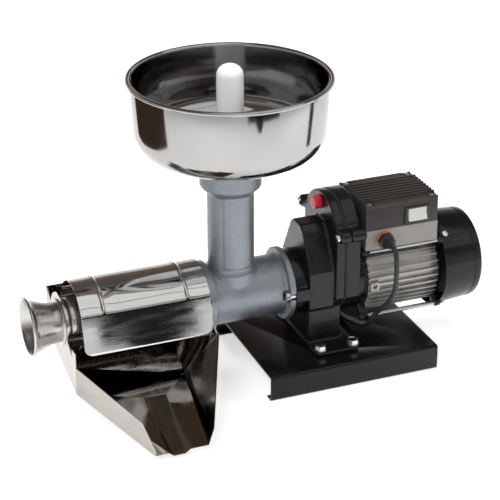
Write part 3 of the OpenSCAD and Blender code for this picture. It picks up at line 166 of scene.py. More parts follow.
cordRubber = finish("cordRubber", (0.018, 0.018, 0.019), 0.42, cloud=0.2, cloudScale=80.0, grain=0.2,
                    grainScale=900.0)
tieRubber = finish("tieRubber", (0.05, 0.05, 0.055), 0.5, cloud=0.15, grain=0.3, grainScale=700.0)
zincPlate = finish("zincPlate", (0.70, 0.71, 0.72), 0.22, metallic=1.0, cloud=0.12, cloudScale=120.0,
                   grain=0.15, grainScale=600.0)
gearSteel = finish("gearSteel", (0.45, 0.46, 0.47), 0.32, metallic=1.0, cloud=0.12, cloudScale=60.0,
                   grain=0.2, stretch=(20, 1, 1))
coreSteel = finish("coreSteel", (0.24, 0.24, 0.25), 0.45, metallic=0.9, cloud=0.1, grain=0.5,
                   grainScale=60.0, stretch=(30, 1, 1))
copperWire = finish("copperWire", (0.58, 0.22, 0.09), 0.3, metallic=0.8, cloud=0.2, cloudScale=140.0,
                    grain=0.8, grainScale=400.0)
bushBronze = finish("bushBronze", (0.50, 0.34, 0.13), 0.35, metallic=1.0, cloud=0.15, grain=0.2)
gasketPaper = finish("gasketPaper", (0.05, 0.05, 0.048), 0.8, cloud=0.15, cloudScale=90.0, grain=0.5)
print("finishes made", len(bpy.data.materials))


# Cord: from the gland down to the base, back under the machine, then the stored coil and the plug
cord = {"diameter": 6.6, "turns": 6.25, "outerR": 48.0, "pitch": 7.3, "coilX": 215.0, "coilY": 165.0,
        "lift": 1.3, "perTurn": 24, "tail": 36.0, "plugR": 18.5, "tailSteps": 4}
cordRoute = [(180, -75, 180), (180, -80, 180), (180, -86, 177), (180, -90, 169), (180, -92, 156),
             (180, -92, 142), (180, -91, 128), (178, -88, 114), (175, -81, 101), (170, -72, 89),
             (166, -63, 77), (161, -56, 63), (158, -46, 54), (156, -32, 49), (154, -14, 44.5),
             (153, 6, 40.5), (152, 26, 39), (151, 44, 38.8), (151, 62, 38.8), (151, 80, 38.9),
             (152, 94, 39.4), (153, 104, 40), (154, 111, 37), (155, 116, 30), (156, 119, 19),
             (160, 127, 9), (164, 138, 5), (167, 150, 4.6)]


def coilPoint(t):  # spirals in on one layer and out again on the next
    half = cord["turns"] / 2
    radius = cord["outerR"] - cord["pitch"] * half + cord["pitch"] * abs(t - half)
    climb = min(1, max(0, (t - half) * 2 + 0.5))
    angle = math.tau * t
    return (cord["coilX"] - radius * math.cos(angle), cord["coilY"] + radius * math.sin(angle),
            cord["diameter"] / 2 + cord["lift"] + cord["pitch"] * climb * climb * (3 - 2 * climb))


def cordPoints():
    start, end = coilPoint(0), coilPoint(cord["turns"])
    points = list(cordRoute)
    points.append((start[0], cord["coilY"] - cord["diameter"], start[2]))
    points += [coilPoint(k / cord["perTurn"]) for k in range(int(cord["turns"] * cord["perTurn"]) + 1)]
    tailX = end[0] + cord["diameter"]
    points.append((tailX, end[1], end[2]))
    run = cord["tail"] - 2 * cord["diameter"]
    for k in range(cord["tailSteps"] + 1):
        u = k / cord["tailSteps"]
        points.append((tailX + cord["diameter"] + run * u, end[1],
                       end[2] + (cord["plugR"] - end[2]) * u * u * (3 - 2 * u)))
    points.append((tailX + cord["tail"], end[1], cord["plugR"]))
    return [at(*p) for p in points]


def lengthOf(curve):  # measured on the evaluated line
    graph = bpy.context.evaluated_depsgraph_get()
    line = curve.evaluated_get(graph).to_mesh()
    return sum((line.vertices[a].co - line.vertices[b].co).length for a,
               b in (e.vertices for e in line.edges))


def makeCord():
    bpy.ops.curve.primitive_bezier_curve_add()
    curve = bpy.context.object
    curve.name = "mains_lead"
    spline = curve.data.splines[0]
    points = cordPoints()
    spline.bezier_points.add(len(points) - len(spline.bezier_points))
    for point, place in zip(spline.bezier_points, points):
        point.handle_left_type = point.handle_right_type = "AUTO"
        point.co = place
    curve.location = (0, 0, 0)
    curve.data.resolution_u = 6
    length = lengthOf(curve)
    curve.data.bevel_depth = cord["diameter"] / 2 * mm
    curve.data.bevel_resolution = 3
    curve.data.use_fill_caps = True
    curve.data.materials.append(cordRubber)
    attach(curve, "frame")
    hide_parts("mains_cord", "cord_coil", "cord_tail")
    print("cord length", round(length, 3))


makeCord()


# Modelling helpers
tool = {"weldTurned": 0.00002, "weldCopy": 0.00001, "flat": 1.0, "bevelFrom": 38, "smoothStep": 0.5,
        "castAngle": 60.0}


def pick(test, kind="VERT"):  # selects what passes a test of its middle, in millimetres
    bpy.ops.mesh.select_mode(type=kind)
    bpy.ops.mesh.select_all(action="DESELECT")
    mesh = bmesh.from_edit_mesh(bpy.context.object.data)
    parts = {"VERT": mesh.verts, "EDGE": mesh.edges, "FACE": mesh.faces}[kind]
    for part in parts:
        spots = [part.co] if kind == "VERT" else [v.co for v in part.verts]
        middle = (sum(spots, Vector()) / len(spots) - origin) / mm
        part.select = bool(test(middle))
    mesh.select_flush_mode()
    bmesh.update_edit_mesh(bpy.context.object.data)


def settle(piece, name, material, body="frame", replaces=(), angle=35.0):  # ends every piece
    if piece.mode == "EDIT":
        bpy.ops.object.mode_set(mode="OBJECT")
    piece.name = name
    bpy.ops.object.select_all(action="DESELECT")
    piece.select_set(True)
    bpy.context.view_layer.objects.active = piece
    bpy.ops.object.transform_apply(location=True, rotation=True, scale=True)
    bpy.ops.object.shade_smooth_by_angle(angle=math.radians(angle))
    piece.data.materials.clear()
    piece.data.materials.append(material)
    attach(piece, body)
    if replaces:
        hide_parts(*replaces)
    bpy.ops.object.select_all(action="DESELECT")
    return piece


def applyModifier(piece, kind, **settings):
    modifier = piece.modifiers.new(kind.title(), kind)
    for key, value in settings.items():
        setattr(modifier, key, value)
    bpy.ops.object.select_all(action="DESELECT")
    piece.select_set(True)
    bpy.context.view_layer.objects.active = piece
    bpy.ops.object.modifier_apply(modifier=modifier.name)


def turned(profile, axis="X", centre=(0, 0), segments=128, closed=True):  # (along, radius) pairs
    flat = axis == "Z"

    def spot(along):
        return at(centre[0], centre[1], along) if flat else at(along, centre[0], centre[1])

    first = profile[0]
    bpy.ops.mesh.primitive_circle_add(vertices=segments, radius=first[1] * mm, location=spot(first[0]),
                                      rotation=(0, 0, 0) if flat else (0, math.pi / 2, 0))
    piece = bpy.context.object
    bpy.ops.object.transform_apply(location=True, rotation=True, scale=True)
    bpy.ops.object.mode_set(mode="EDIT")
    bpy.ops.mesh.select_all(action="SELECT")
    for (alongA, radiusA), (alongB, radiusB) in zip(profile, profile[1:]):
        bpy.ops.mesh.extrude_region_move(TRANSFORM_OT_translate={"value": spot(alongB) - spot(alongA)})
        share = radiusB / radiusA
        bpy.ops.transform.resize(value=(share, share, 1) if flat else (1, share, share),
                                 center_override=spot(alongB))
    bpy.ops.mesh.select_all(action="SELECT")
    bpy.ops.mesh.remove_doubles(threshold=tool["weldTurned"])
    if closed:
        bpy.ops.mesh.normals_make_consistent(inside=False)
    return piece


def arc(centreA, centreB, radius, start, end, steps):  # points of an arc, as (along, radius) pairs
    angles = [math.radians(start + (end - start) * k / steps) for k in range(steps + 1)]
    return [(centreA + radius * math.sin(a), centreB + radius * math.cos(a)) for a in angles]


def copyOf(node):  # a node's mesh as a new object, merged and in flat faces
    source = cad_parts[node]
    piece = bpy.data.objects.new(node + "_copy", source.data.copy())
    scene.collection.objects.link(piece)
    bpy.ops.object.select_all(action="DESELECT")
    piece.select_set(True)
    bpy.context.view_layer.objects.active = piece
    bpy.ops.object.mode_set(mode="EDIT")
    bpy.ops.mesh.select_all(action="SELECT")
    bpy.ops.mesh.remove_doubles(threshold=tool["weldCopy"])
    bpy.ops.mesh.normals_make_consistent(inside=False)
    return piece


def dressed(node, material, edge, segments, name, body="frame", angle=35.0):  # edges broken
    piece = copyOf(node)
    bpy.ops.mesh.dissolve_limited(angle_limit=math.radians(tool["flat"]))
    bpy.ops.object.mode_set(mode="OBJECT")
    applyModifier(piece, "BEVEL", width=edge * mm, segments=segments, limit_method="ANGLE",
                  angle_limit=math.radians(tool["bevelFrom"]))
    return settle(piece, name, material, body, (node,), angle)


def cast(node, material, voxel, rounds, keep, name):  # soft edges of a casting
    piece = copyOf(node)
    bpy.ops.object.mode_set(mode="OBJECT")
    applyModifier(piece, "REMESH", mode="VOXEL", voxel_size=voxel * mm)
    applyModifier(piece, "SMOOTH", factor=tool["smoothStep"], iterations=rounds)
    applyModifier(piece, "DECIMATE", ratio=keep)
    return settle(piece, name, material, "frame", (node,), tool["castAngle"])


# Bowl
bowl = {"neckR": 34.0, "neckZ": 284.1, "floorZ": 313.8, "cornerR": 35.0, "wallR": 122.5, "rimR": 123.9,
        "rimZ": 412.0, "sheet": 1.2, "beadR": 3.0, "beadOut": 3.8, "segments": 192, "neckEase": 2.0,
        "cornerSteps": 16, "beadFrom": 205, "beadTo": -38, "beadSteps": 20, "beadFoot": 0.9,
        "beadJoin": 0.4}


def makeBowl():
    b = bowl
    cornerMid, cornerZ = b["wallR"] - b["cornerR"], b["floorZ"] + b["cornerR"]
    inner = b["cornerR"] - b["sheet"]
    outline = [(b["neckZ"], b["neckR"] - b["sheet"]), (b["neckZ"], b["neckR"]),
               (b["floorZ"] - b["neckEase"], b["neckR"]), (b["floorZ"], b["neckR"] + b["neckEase"])]
    outline += arc(cornerZ, cornerMid, b["cornerR"], -90, 0, b["cornerSteps"])
    outline += arc(b["rimZ"], b["rimR"] + b["beadOut"], b["beadR"], b["beadFrom"], b["beadTo"],
                   b["beadSteps"])
    outline += [(b["rimZ"] + b["beadFoot"], b["rimR"] - b["sheet"] + b["beadJoin"]),
                (b["rimZ"] - 1, b["rimR"] - b["sheet"])]
    outline += arc(cornerZ, cornerMid, inner, 0, -90, b["cornerSteps"])
    outline += [(b["floorZ"] + b["sheet"], b["neckR"] + b["neckEase"]),
                (b["floorZ"] + b["sheet"] - b["neckEase"], b["neckR"] - b["sheet"]),
                (b["neckZ"], b["neckR"] - b["sheet"])]
    piece = turned(outline, "Z", (drive["columnX"], 0), b["segments"])
    settle(piece, "bowl_shell", mirrorSteel, replaces=("hopper_bowl",), angle=50)


makeBowl()

# Pusher
pusher = {"foot": 147.3, "footR": 27.0, "footTop": 199.3, "shoulder": 209.0, "stemR": 17.15,
          "top": 430.0, "dome": 15.0, "footEase": 2.0, "poleR": 0.4, "straight": 60.0, "domeSteps": 10,
          "segments": 96}


def makePusher():
    p = pusher
    outline = [(p["foot"], p["poleR"]), (p["foot"], p["footR"] - p["footEase"]),
               (p["foot"] + p["footEase"], p["footR"]), (p["footTop"], p["footR"]),
               (p["shoulder"], p["stemR"]), (p["top"] - p["dome"] - p["straight"], p["stemR"])]
    outline += arc(p["top"] - p["dome"], p["stemR"] - p["dome"], p["dome"], 0, 90, p["domeSteps"])
    outline += [(p["top"], p["poleR"])]
    piece = turned(outline, "Z", (drive["columnX"], 0), p["segments"])
    bpy.ops.mesh.select_all(action="SELECT")
    bpy.ops.mesh.select_non_manifold()
    bpy.ops.mesh.edge_face_add()
    settle(piece, "pusher_body", pusherPlastic, "pusher", ("pusher",), 50)


makePusher()
print("bowl and pusher made")

# Waste outlet and its clamp ring
outlet = {"neckR": 26.0, "sheet": 1.2, "mouthR": 36.5, "beadR": 1.8, "length": 38.4, "neckEnd": 3.1,
          "flare": 6.4, "ringR": 30.4, "ringLen": 11.0, "ringBore": 28.1, "steps": 8,
          "flarePower": 1.25, "beadFrom": 60, "beadTo": -150, "beadSteps": 14, "sheetShift": 0.3,
          "ringEase": 1.4, "ringMid": 0.5, "ringFall": 0.4, "lipLen": 3.7, "slack": 0.1}


def makeOutlet():
    o, x, z = outlet, drive["clampX"], drive["axisZ"]
    mouthX, flareX, steps = x - o["length"], x - o["flare"], o["steps"]
    widen = o["mouthR"] - o["neckR"]
    outer = [(flareX + (mouthX - flareX) * k / steps, o["neckR"] + widen * (k / steps) ** o["flarePower"])
             for k in range(steps)]
    bead = arc(mouthX, o["mouthR"], o["beadR"], o["beadFrom"], o["beadTo"], o["beadSteps"])
    inner = [(a + o["sheet"] * o["sheetShift"], r - o["sheet"]) for a, r in reversed(outer)]
    neckX, boreR = x + o["neckEnd"], o["neckR"] - o["sheet"]
    outline = [(neckX, boreR), (neckX, o["neckR"])] + outer + bead + inner + [(neckX, boreR)]
    settle(turned(outline, "X", (0, z)), "outlet_funnel", brushedSteel,
           replaces=("waste_outlet",), angle=50)
    endX, outR, seatR = x + o["ringLen"], o["ringR"], o["neckR"] + o["slack"]
    ease, lipX = o["ringEase"], x + o["lipLen"]
    ring = [(x, seatR), (x, outR - ease), (x + o["ringMid"], outR - o["ringFall"]), (x + ease, outR),
            (endX - ease, outR), (endX - o["ringMid"], outR - o["ringFall"]), (endX, outR - ease),
            (endX, o["ringBore"]), (lipX, o["ringBore"]), (lipX, seatR), (x, seatR)]
    settle(turned(ring, "X", (0, z)), "clamp_ring", brushedSteel,
           replaces=("outlet_ring",), angle=40)


makeOutlet()

# Cone screen with its holes
screen = {"bigR": 40.0, "smallR": 30.0, "length": 180.0, "sheet": 1.0, "around": 52, "rows": 42,
          "socket": 7.7, "margin": 2.0, "tipR": 28.0, "tipLen": 7.0, "hole": 1.05}


def makeScreen():
    s, x, z = screen, drive["screenX"], drive["axisZ"]
    outline = [(x - s["length"] * k / s["rows"], s["bigR"] - (s["bigR"] - s["smallR"]) * k / s["rows"])
               for k in range(s["rows"] + 1)]
    piece = turned(outline, "X", (0, z), s["around"], closed=False)
    pick(lambda p: x - s["length"] + s["margin"] < p.x < x - s["margin"], "FACE")
    bpy.ops.mesh.inset(thickness=s["hole"] * mm, use_individual=True)
    bpy.ops.mesh.delete(type="FACE")
    pick(lambda p: p.x > x - 0.1)
    bpy.ops.mesh.extrude_region_move(TRANSFORM_OT_translate={"value": (s["socket"] * mm, 0, 0)})
    pick(lambda p: p.x < x - s["length"] + 0.1)
    bpy.ops.mesh.extrude_region_move(TRANSFORM_OT_translate={"value": (0, 0, 0)})
    share = s["tipR"] / s["smallR"]
    bpy.ops.transform.resize(value=(1, share, share), center_override=at(x - s["length"], 0, z))
    bpy.ops.mesh.extrude_region_move(TRANSFORM_OT_translate={"value": (-s["tipLen"] * mm, 0, 0)})
    bpy.ops.mesh.select_all(action="SELECT")
    bpy.ops.mesh.normals_make_consistent(inside=False)
    bpy.ops.object.mode_set(mode="OBJECT")
    applyModifier(piece, "SUBSURF", levels=1, render_levels=1)
    applyModifier(piece, "SOLIDIFY", thickness=s["sheet"] * mm, offset=-1)
    settle(piece, "screen_sieve", screenSteel, replaces=("screen_cone",), angle=50)


makeScreen()
print("screen and outlet made")

# Splash cover: a rolled sheet with two pressed beads, a hooked back edge and a flat flap in front
cover = {"x0": -232.5, "x1": -61.5, "outerR": 51.5, "sheet": 1.2, "beadIn": 30.0, "beadHalf": 3.4,
         "beadUp": 1.2, "backTurn": -87.8, "flapTurn": 62.0, "flapOut": 58.0, "flapZ": 90.0,
         "backZ": 117.0, "cornerR": 9.0, "hookR": 2.4, "arcRows": 80, "flapRows": 20, "fadeRows": 3,
         "middleColumns": 6, "edge": 0.3, "hookEdge": 0.8, "hookSides": 24, "near": 0.1}


def coverSpot(x, row):  # row 0 is the hooked back edge, the last row the flap's lower edge
    c = cover
    turned01 = min(1.0, row / c["arcRows"])
    angle = math.radians(c["backTurn"] + (c["flapTurn"] - c["backTurn"]) * turned01)
    radius = c["outerR"]
    for middle in (c["x0"] + c["beadIn"], c["x1"] - c["beadIn"]):
        reach = min(1.0, abs(x - middle) / c["beadHalf"])
        fade = min(1.0, row / c["fadeRows"], max(0.0, (c["arcRows"] - row) / c["fadeRows"]))
        radius += c["beadUp"] * fade * (1 + math.cos(math.pi * reach)) / 2
    y, z = -radius * math.sin(angle), drive["axisZ"] + radius * math.cos(angle)
    down = max(0.0, (row - c["arcRows"]) / c["flapRows"])
    return at(x, y + (-c["flapOut"] - y) * down, z + (c["flapZ"] - z) * down)


def makeCover():
    c = cover
    beads = (c["x0"] + c["beadIn"], c["x1"] - c["beadIn"])
    steps = [-1, -0.75, -0.5, -0.25, 0, 0.25, 0.5, 0.75, 1]
    ends = [c["cornerR"] * u for u in (0, 0.08, 0.2, 0.36, 0.6, 1, 1.6)]
    columns = [c["x0"] + d for d in ends] + [beads[0] + c["beadHalf"] * u for u in steps]
    span, parts = beads[1] - beads[0], c["middleColumns"]
    columns += [beads[0] + span * k / parts for k in range(1, parts)]
    columns += [beads[1] + c["beadHalf"] * u for u in steps] + [c["x1"] - d for d in reversed(ends)]
    rows = c["arcRows"] + c["flapRows"]
    bpy.ops.mesh.primitive_grid_add(x_subdivisions=len(columns) - 1, y_subdivisions=rows, size=1)
    piece = bpy.context.object
    for vertex in piece.data.vertices:
        column = round((vertex.co.x + 0.5) * (len(columns) - 1))
        vertex.co = coverSpot(columns[column], round((vertex.co.y + 0.5) * rows))
    bpy.ops.object.mode_set(mode="EDIT")
    pick(lambda p: p.z < c["flapZ"]
         + c["near"] and (p.x < c["x0"] + c["near"] or p.x > c["x1"] - c["near"]))
    bpy.ops.mesh.delete(type="VERT")
    bpy.ops.object.mode_set(mode="OBJECT")
    low = [v for v in piece.data.vertices if (v.co - origin).z / mm < c["flapZ"] + c["cornerR"]]
    for vertex in low:  # rounds the flap's two lower corners
        x, z = (vertex.co - origin).x / mm, (vertex.co - origin).z / mm
        endX = c["x0"] if x < (c["x0"] + c["x1"]) / 2 else c["x1"]
        side = 1 if endX == c["x0"] else -1
        drop = c["flapZ"] + c["cornerR"] - z
        inset = c["cornerR"] - math.sqrt(max(0.0, c["cornerR"] ** 2 - drop ** 2))
        if (x - endX) * side < inset:
            vertex.co.x = at(endX + side * inset, 0, 0).x
    top = max(piece.data.polygons, key=lambda face: face.center.z)
    if top.normal.z < 0:
        bpy.ops.object.mode_set(mode="EDIT")
        bpy.ops.mesh.select_all(action="SELECT")
        bpy.ops.mesh.flip_normals()
        bpy.ops.object.mode_set(mode="OBJECT")
    applyModifier(piece, "SOLIDIFY", thickness=c["sheet"] * mm, offset=-1)
    applyModifier(piece, "BEVEL", width=c["edge"] * mm, segments=2, limit_method="ANGLE",
                  angle_limit=math.radians(60))
    settle(piece, "cover_sheet", coverSteel, replaces=("splash_cover",), angle=40)
    hookY = c["outerR"] + c["hookR"]
    bpy.ops.mesh.primitive_cylinder_add(vertices=c["hookSides"], radius=c["hookR"] * mm,
                                        depth=(c["x1"] - c["x0"]) * mm,
                                        location=at((c["x0"] + c["x1"]) / 2, hookY, c["backZ"]),
                                        rotation=(0, math.pi / 2, 0))
    hook = bpy.context.object
    applyModifier(hook, "BEVEL", width=c["hookEdge"] * mm, segments=3, limit_method="ANGLE",
                  angle_limit=math.radians(60))
    settle(hook, "cover_hook", coverSteel, angle=40)


makeCover()
print("cover made")

# Chute, body, gear case and motor castings
dressed("sauce_chute", chuteSteel, edge=0.25, segments=2, angle=25, name="chute_sheets")
cast("strainer_body", castAluminium, voxel=1.15, rounds=5, keep=0.5, name="body_casting")
cast("gearbox_front_case", caseBlack, voxel=1.3, rounds=10, keep=0.3, name="front_casting")
cast("gearbox_rear_case", caseBlack, voxel=1.3, rounds=10, keep=0.3, name="rear_casting")
dressed("body_adapter_ring", caseBlack, edge=1.2, segments=3, name="hub_ring")
dressed("base_plate", baseBlack, edge=0.4, segments=2, name="base_channel")
dressed("stator_housing", motorAluminium, edge=0.45, segments=2, name="motor_barrel")
dressed("front_shield", caseBlack, edge=0.8, segments=3, name="shield_front")
dressed("rear_shield", caseBlack, edge=0.8, segments=3, name="shield_rear")
dressed("terminal_base", basePlastic, edge=1.0, segments=3, name="terminal_housing")
dressed("control_box", boxPlastic, edge=1.6, segments=4, name="box_shell")
dressed("box_lid", boxPlastic, edge=0.6, segments=3, name="lid_shell")
dressed("switch_frame", blackPlastic, edge=0.5, segments=2, name="switch_bezel")
dressed("switch_rocker", rockerPlastic, edge=0.5, segments=2, body="rocker",
        name="rocker_cap")
dressed("oil_plug", plugRed, edge=0.7, segments=3, name="plug_cap")
dressed("foot_bolts", zincPlate, edge=0.45, segments=2, name="foot_bolt_set")
dressed("body_bolts", zincPlate, edge=0.45, segments=2, name="body_bolt_set")
dressed("case_screws", zincPlate, edge=0.4, segments=2, name="case_screw_set")
dressed("tie_rods", gearSteel, edge=0.4, segments=2, name="tie_rod_set")
dressed("lid_screws", zincPlate, edge=0.3, segments=2, name="lid_screw_set")
dressed("fan_cover_screws", zincPlate, edge=0.4, segments=2, name="hood_screw_set")
dressed("cable_gland", blackPlastic, edge=0.5, segments=2, name="gland_body")
dressed("gland_washer", sealOrange, edge=0.4, segments=2, name="gland_seal")
dressed("cooling_fan", fanPlastic, edge=0.3, segments=2, body="rotor", name="fan_wheel")
print("dressed copies made")

# Fan hood: a spun sheet cap with a rolled front band, a groove before its end and a slotted grille
hood = {"x0": 268.0, "x1": 326.0, "frontR": 66.0, "backR": 62.0, "edgeR": 6.0, "sheet": 1.2,
        "slots": 16, "slotW": 5.0, "slotIn": 14.0, "slotOut": 50.0, "groove": 12.0, "band": 5.0,
        "lip": 0.5, "bandFall": 0.3, "step": 1.0, "runFall": 0.2, "shares": (0.2, 0.4, 0.6, 0.74),
        "grooveHalf": 1.2, "grooveDeep": 0.8, "edgeFrom": 8, "edgeTo": 84, "edgeSteps": 9, "rest": 2.0,
        "poleR": 0.3, "bendIn": 0.4, "segments": 144, "slotSides": 24, "cutDepth": 0.012}


def makeHood():
    h, z = hood, drive["axisZ"]
    run = h["x1"] - h["edgeR"] - h["x0"]
    lean = h["frontR"] - h["backR"]
    outer = [(h["x0"], h["frontR"] - h["lip"]), (h["x0"] + h["lip"], h["frontR"]),
             (h["x0"] + h["band"] - h["lip"], h["frontR"] - h["bandFall"]),
             (h["x0"] + h["band"], h["frontR"] - h["step"])]
    for share in h["shares"]:
        outer.append((h["x0"] + run * share, h["frontR"] - lean * share - h["runFall"]))
    grooveX = h["x1"] - h["groove"]
    grooveR = h["frontR"] - lean * (grooveX - h["x0"]) / run
    outer += [(grooveX + h["grooveHalf"] * u, grooveR - h["runFall"] - h["grooveDeep"] * (1 - u * u))
              for u in (-1, -0.6, -0.2, 0.2, 0.6, 1)]
    outer += arc(h["x1"] - h["edgeR"], h["backR"] - h["edgeR"], h["edgeR"], h["edgeFrom"], h["edgeTo"],
                 h["edgeSteps"])
    outer += [(h["x1"], h["slotOut"] + h["rest"]), (h["x1"], h["slotOut"]), (h["x1"], h["slotIn"]),
              (h["x1"], h["poleR"])]
    inner = [(h["x1"] - h["sheet"], h["poleR"]), (h["x1"] - h["sheet"], h["slotIn"]),
             (h["x1"] - h["sheet"], h["slotOut"]), (h["x1"] - h["sheet"], h["backR"] - h["edgeR"])]
    inner += [(h["x1"] - h["edgeR"], h["backR"] - h["sheet"] - h["bendIn"]),
              (h["x0"], h["frontR"] - h["sheet"]), (h["x0"], h["frontR"] - h["lip"])]
    piece = turned(outer + inner, "X", (0, z), h["segments"])
    bpy.ops.object.mode_set(mode="OBJECT")
    cutters = []
    for k in range(h["slots"]):
        angle = math.tau * (k + 0.5) / h["slots"]
        middle = (h["slotIn"] + h["slotOut"]) / 2
        place = at(h["x1"], middle * math.cos(angle), z + middle * math.sin(angle))
        bpy.ops.mesh.primitive_cylinder_add(vertices=h["slotSides"], radius=h["slotW"] / 2 * mm,
                                            depth=h["cutDepth"], location=place,
                                            rotation=(0, math.pi / 2, 0))
        cutter = bpy.context.object
        bpy.ops.object.transform_apply(location=False, rotation=True, scale=True)
        half = (h["slotOut"] - h["slotIn"]) / 2 - h["slotW"] / 2
        shift = Vector((0, math.cos(angle), math.sin(angle))) * half * mm
        for vertex in cutter.data.vertices:
            vertex.co += shift if vertex.co.dot(shift) > 0 else -shift
        cutters.append(cutter)
    bpy.ops.object.select_all(action="DESELECT")
    for cutter in cutters:
        cutter.select_set(True)
    bpy.context.view_layer.objects.active = cutters[0]
    bpy.ops.object.join()
    joined = bpy.context.object
    applyModifier(piece, "BOOLEAN", object=joined, operation="DIFFERENCE", solver="EXACT")
    bpy.data.objects.remove(joined)
    settle(piece, "fan_hood", glossBlack, replaces=("fan_cover",), angle=40)


makeHood()
print("hood made")

# Finishes of the pieces that stay as they are
nodeFinishes = {
    "foot_nuts": zincPlate, "case_gasket": gasketPaper, "output_bearing_front": zincPlate,
    "output_bearing_rear": zincPlate, "output_shaft": gearSteel, "output_gear": gearSteel,
    "countershaft": gearSteel, "countershaft_gear": gearSteel, "countershaft_pinion": gearSteel,
    "countershaft_bushes": bushBronze, "motor_pinion": gearSteel, "auger": screwPlastic,
    "auger_seal": cordRubber, "stator_core": coreSteel, "stator_windings": copperWire, "rotor": coreSteel,
    "rotor_shaft": gearSteel, "motor_bearings": zincPlate, "capacitor": capPlastic, "coil_tie": tieRubber,
    "plug_body": blackPlastic, "plug_pins": zincPlate,
}
for node, material in nodeFinishes.items():
    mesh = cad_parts[node].data
    mesh.materials.clear()
    mesh.materials.append(material)
print("node finishes given", len(nodeFinishes))


# Floor, world and lamps
stage = {"floorSize": 14, "floorZ": -0.0004, "floorColour": (0.86, 0.86, 0.86, 1), "floorRough": 0.9,
         "aim": (0, 0.03, 0.2), "cardAim": (-0.05, 0.03, 0.2), "floorGlow": 0.58, "room": 0.62,
         "nearFloor": 0.7, "farFloor": 2.2, "farGlow": 0.6, "whiteTo": 0.06, "roomFrom": 0.30}


def makeFloor():
    bpy.ops.mesh.primitive_plane_add(size=stage["floorSize"], location=(0, 0, stage["floorZ"]))
    floor = bpy.context.object
    floor.name = "floor"
    material = bpy.data.materials.new("floorPaper")
    material.use_nodes = True
    nodes, links = material.node_tree.nodes, material.node_tree.links
    shader = nodes["Principled BSDF"]
    shader.inputs["Base Color"].default_value = stage["floorColour"]
    shader.inputs["Roughness"].default_value = stage["floorRough"]
    glow = nodes.new("ShaderNodeEmission")
    path = nodes.new("ShaderNodeLightPath")
    seen = nodes.new("ShaderNodeMath")
    seen.operation = "ADD"
    seen.use_clamp = True
    links.new(path.outputs["Is Camera Ray"], seen.inputs[0])
    links.new(path.outputs["Is Glossy Ray"], seen.inputs[1])
    through = nodes.new("ShaderNodeMath")
    through.operation = "ADD"
    through.use_clamp = True
    level = nodes.new("ShaderNodeMath")
    level.operation = "MULTIPLY"
    level.inputs[1].default_value = stage["floorGlow"]
    links.new(seen.outputs[0], through.inputs[0])
    links.new(path.outputs["Is Transmission Ray"], through.inputs[1])
    links.new(through.outputs[0], level.inputs[0])
    place, away = nodes.new("ShaderNodeTexCoord"), nodes.new("ShaderNodeVectorMath")
    away.operation = "LENGTH"
    links.new(place.outputs["Object"], away.inputs[0])
    fade = nodes.new("ShaderNodeMapRange")  # far off the floor turns as white as the background
    fade.inputs["From Min"].default_value = stage["nearFloor"]
    fade.inputs["From Max"].default_value = stage["farFloor"]
    fade.inputs["To Max"].default_value = stage["farGlow"]
    links.new(away.outputs["Value"], fade.inputs["Value"])
    whiten = nodes.new("ShaderNodeMath")
    whiten.operation = "MULTIPLY_ADD"
    links.new(path.outputs["Is Camera Ray"], whiten.inputs[0])
    links.new(fade.outputs[0], whiten.inputs[1])
    links.new(level.outputs[0], whiten.inputs[2])
    links.new(whiten.outputs[0], glow.inputs["Strength"])
    both = nodes.new("ShaderNodeAddShader")
    links.new(shader.outputs[0], both.inputs[0])
    links.new(glow.outputs[0], both.inputs[1])
    links.new(both.outputs[0], nodes["Material Output"].inputs["Surface"])
    floor.data.materials.append(material)


# Room tones, by the height a mirrored ray points to
roomTones = {
    0.0: (1.0, 1.0, 1.0),
    0.12: (0.90, 0.90, 0.89),
    0.36: (0.62, 0.60, 0.585),
    0.58: (0.20, 0.17, 0.155),
    0.80: (0.17, 0.145, 0.13),
    1.0: (0.34, 0.31, 0.29),
}


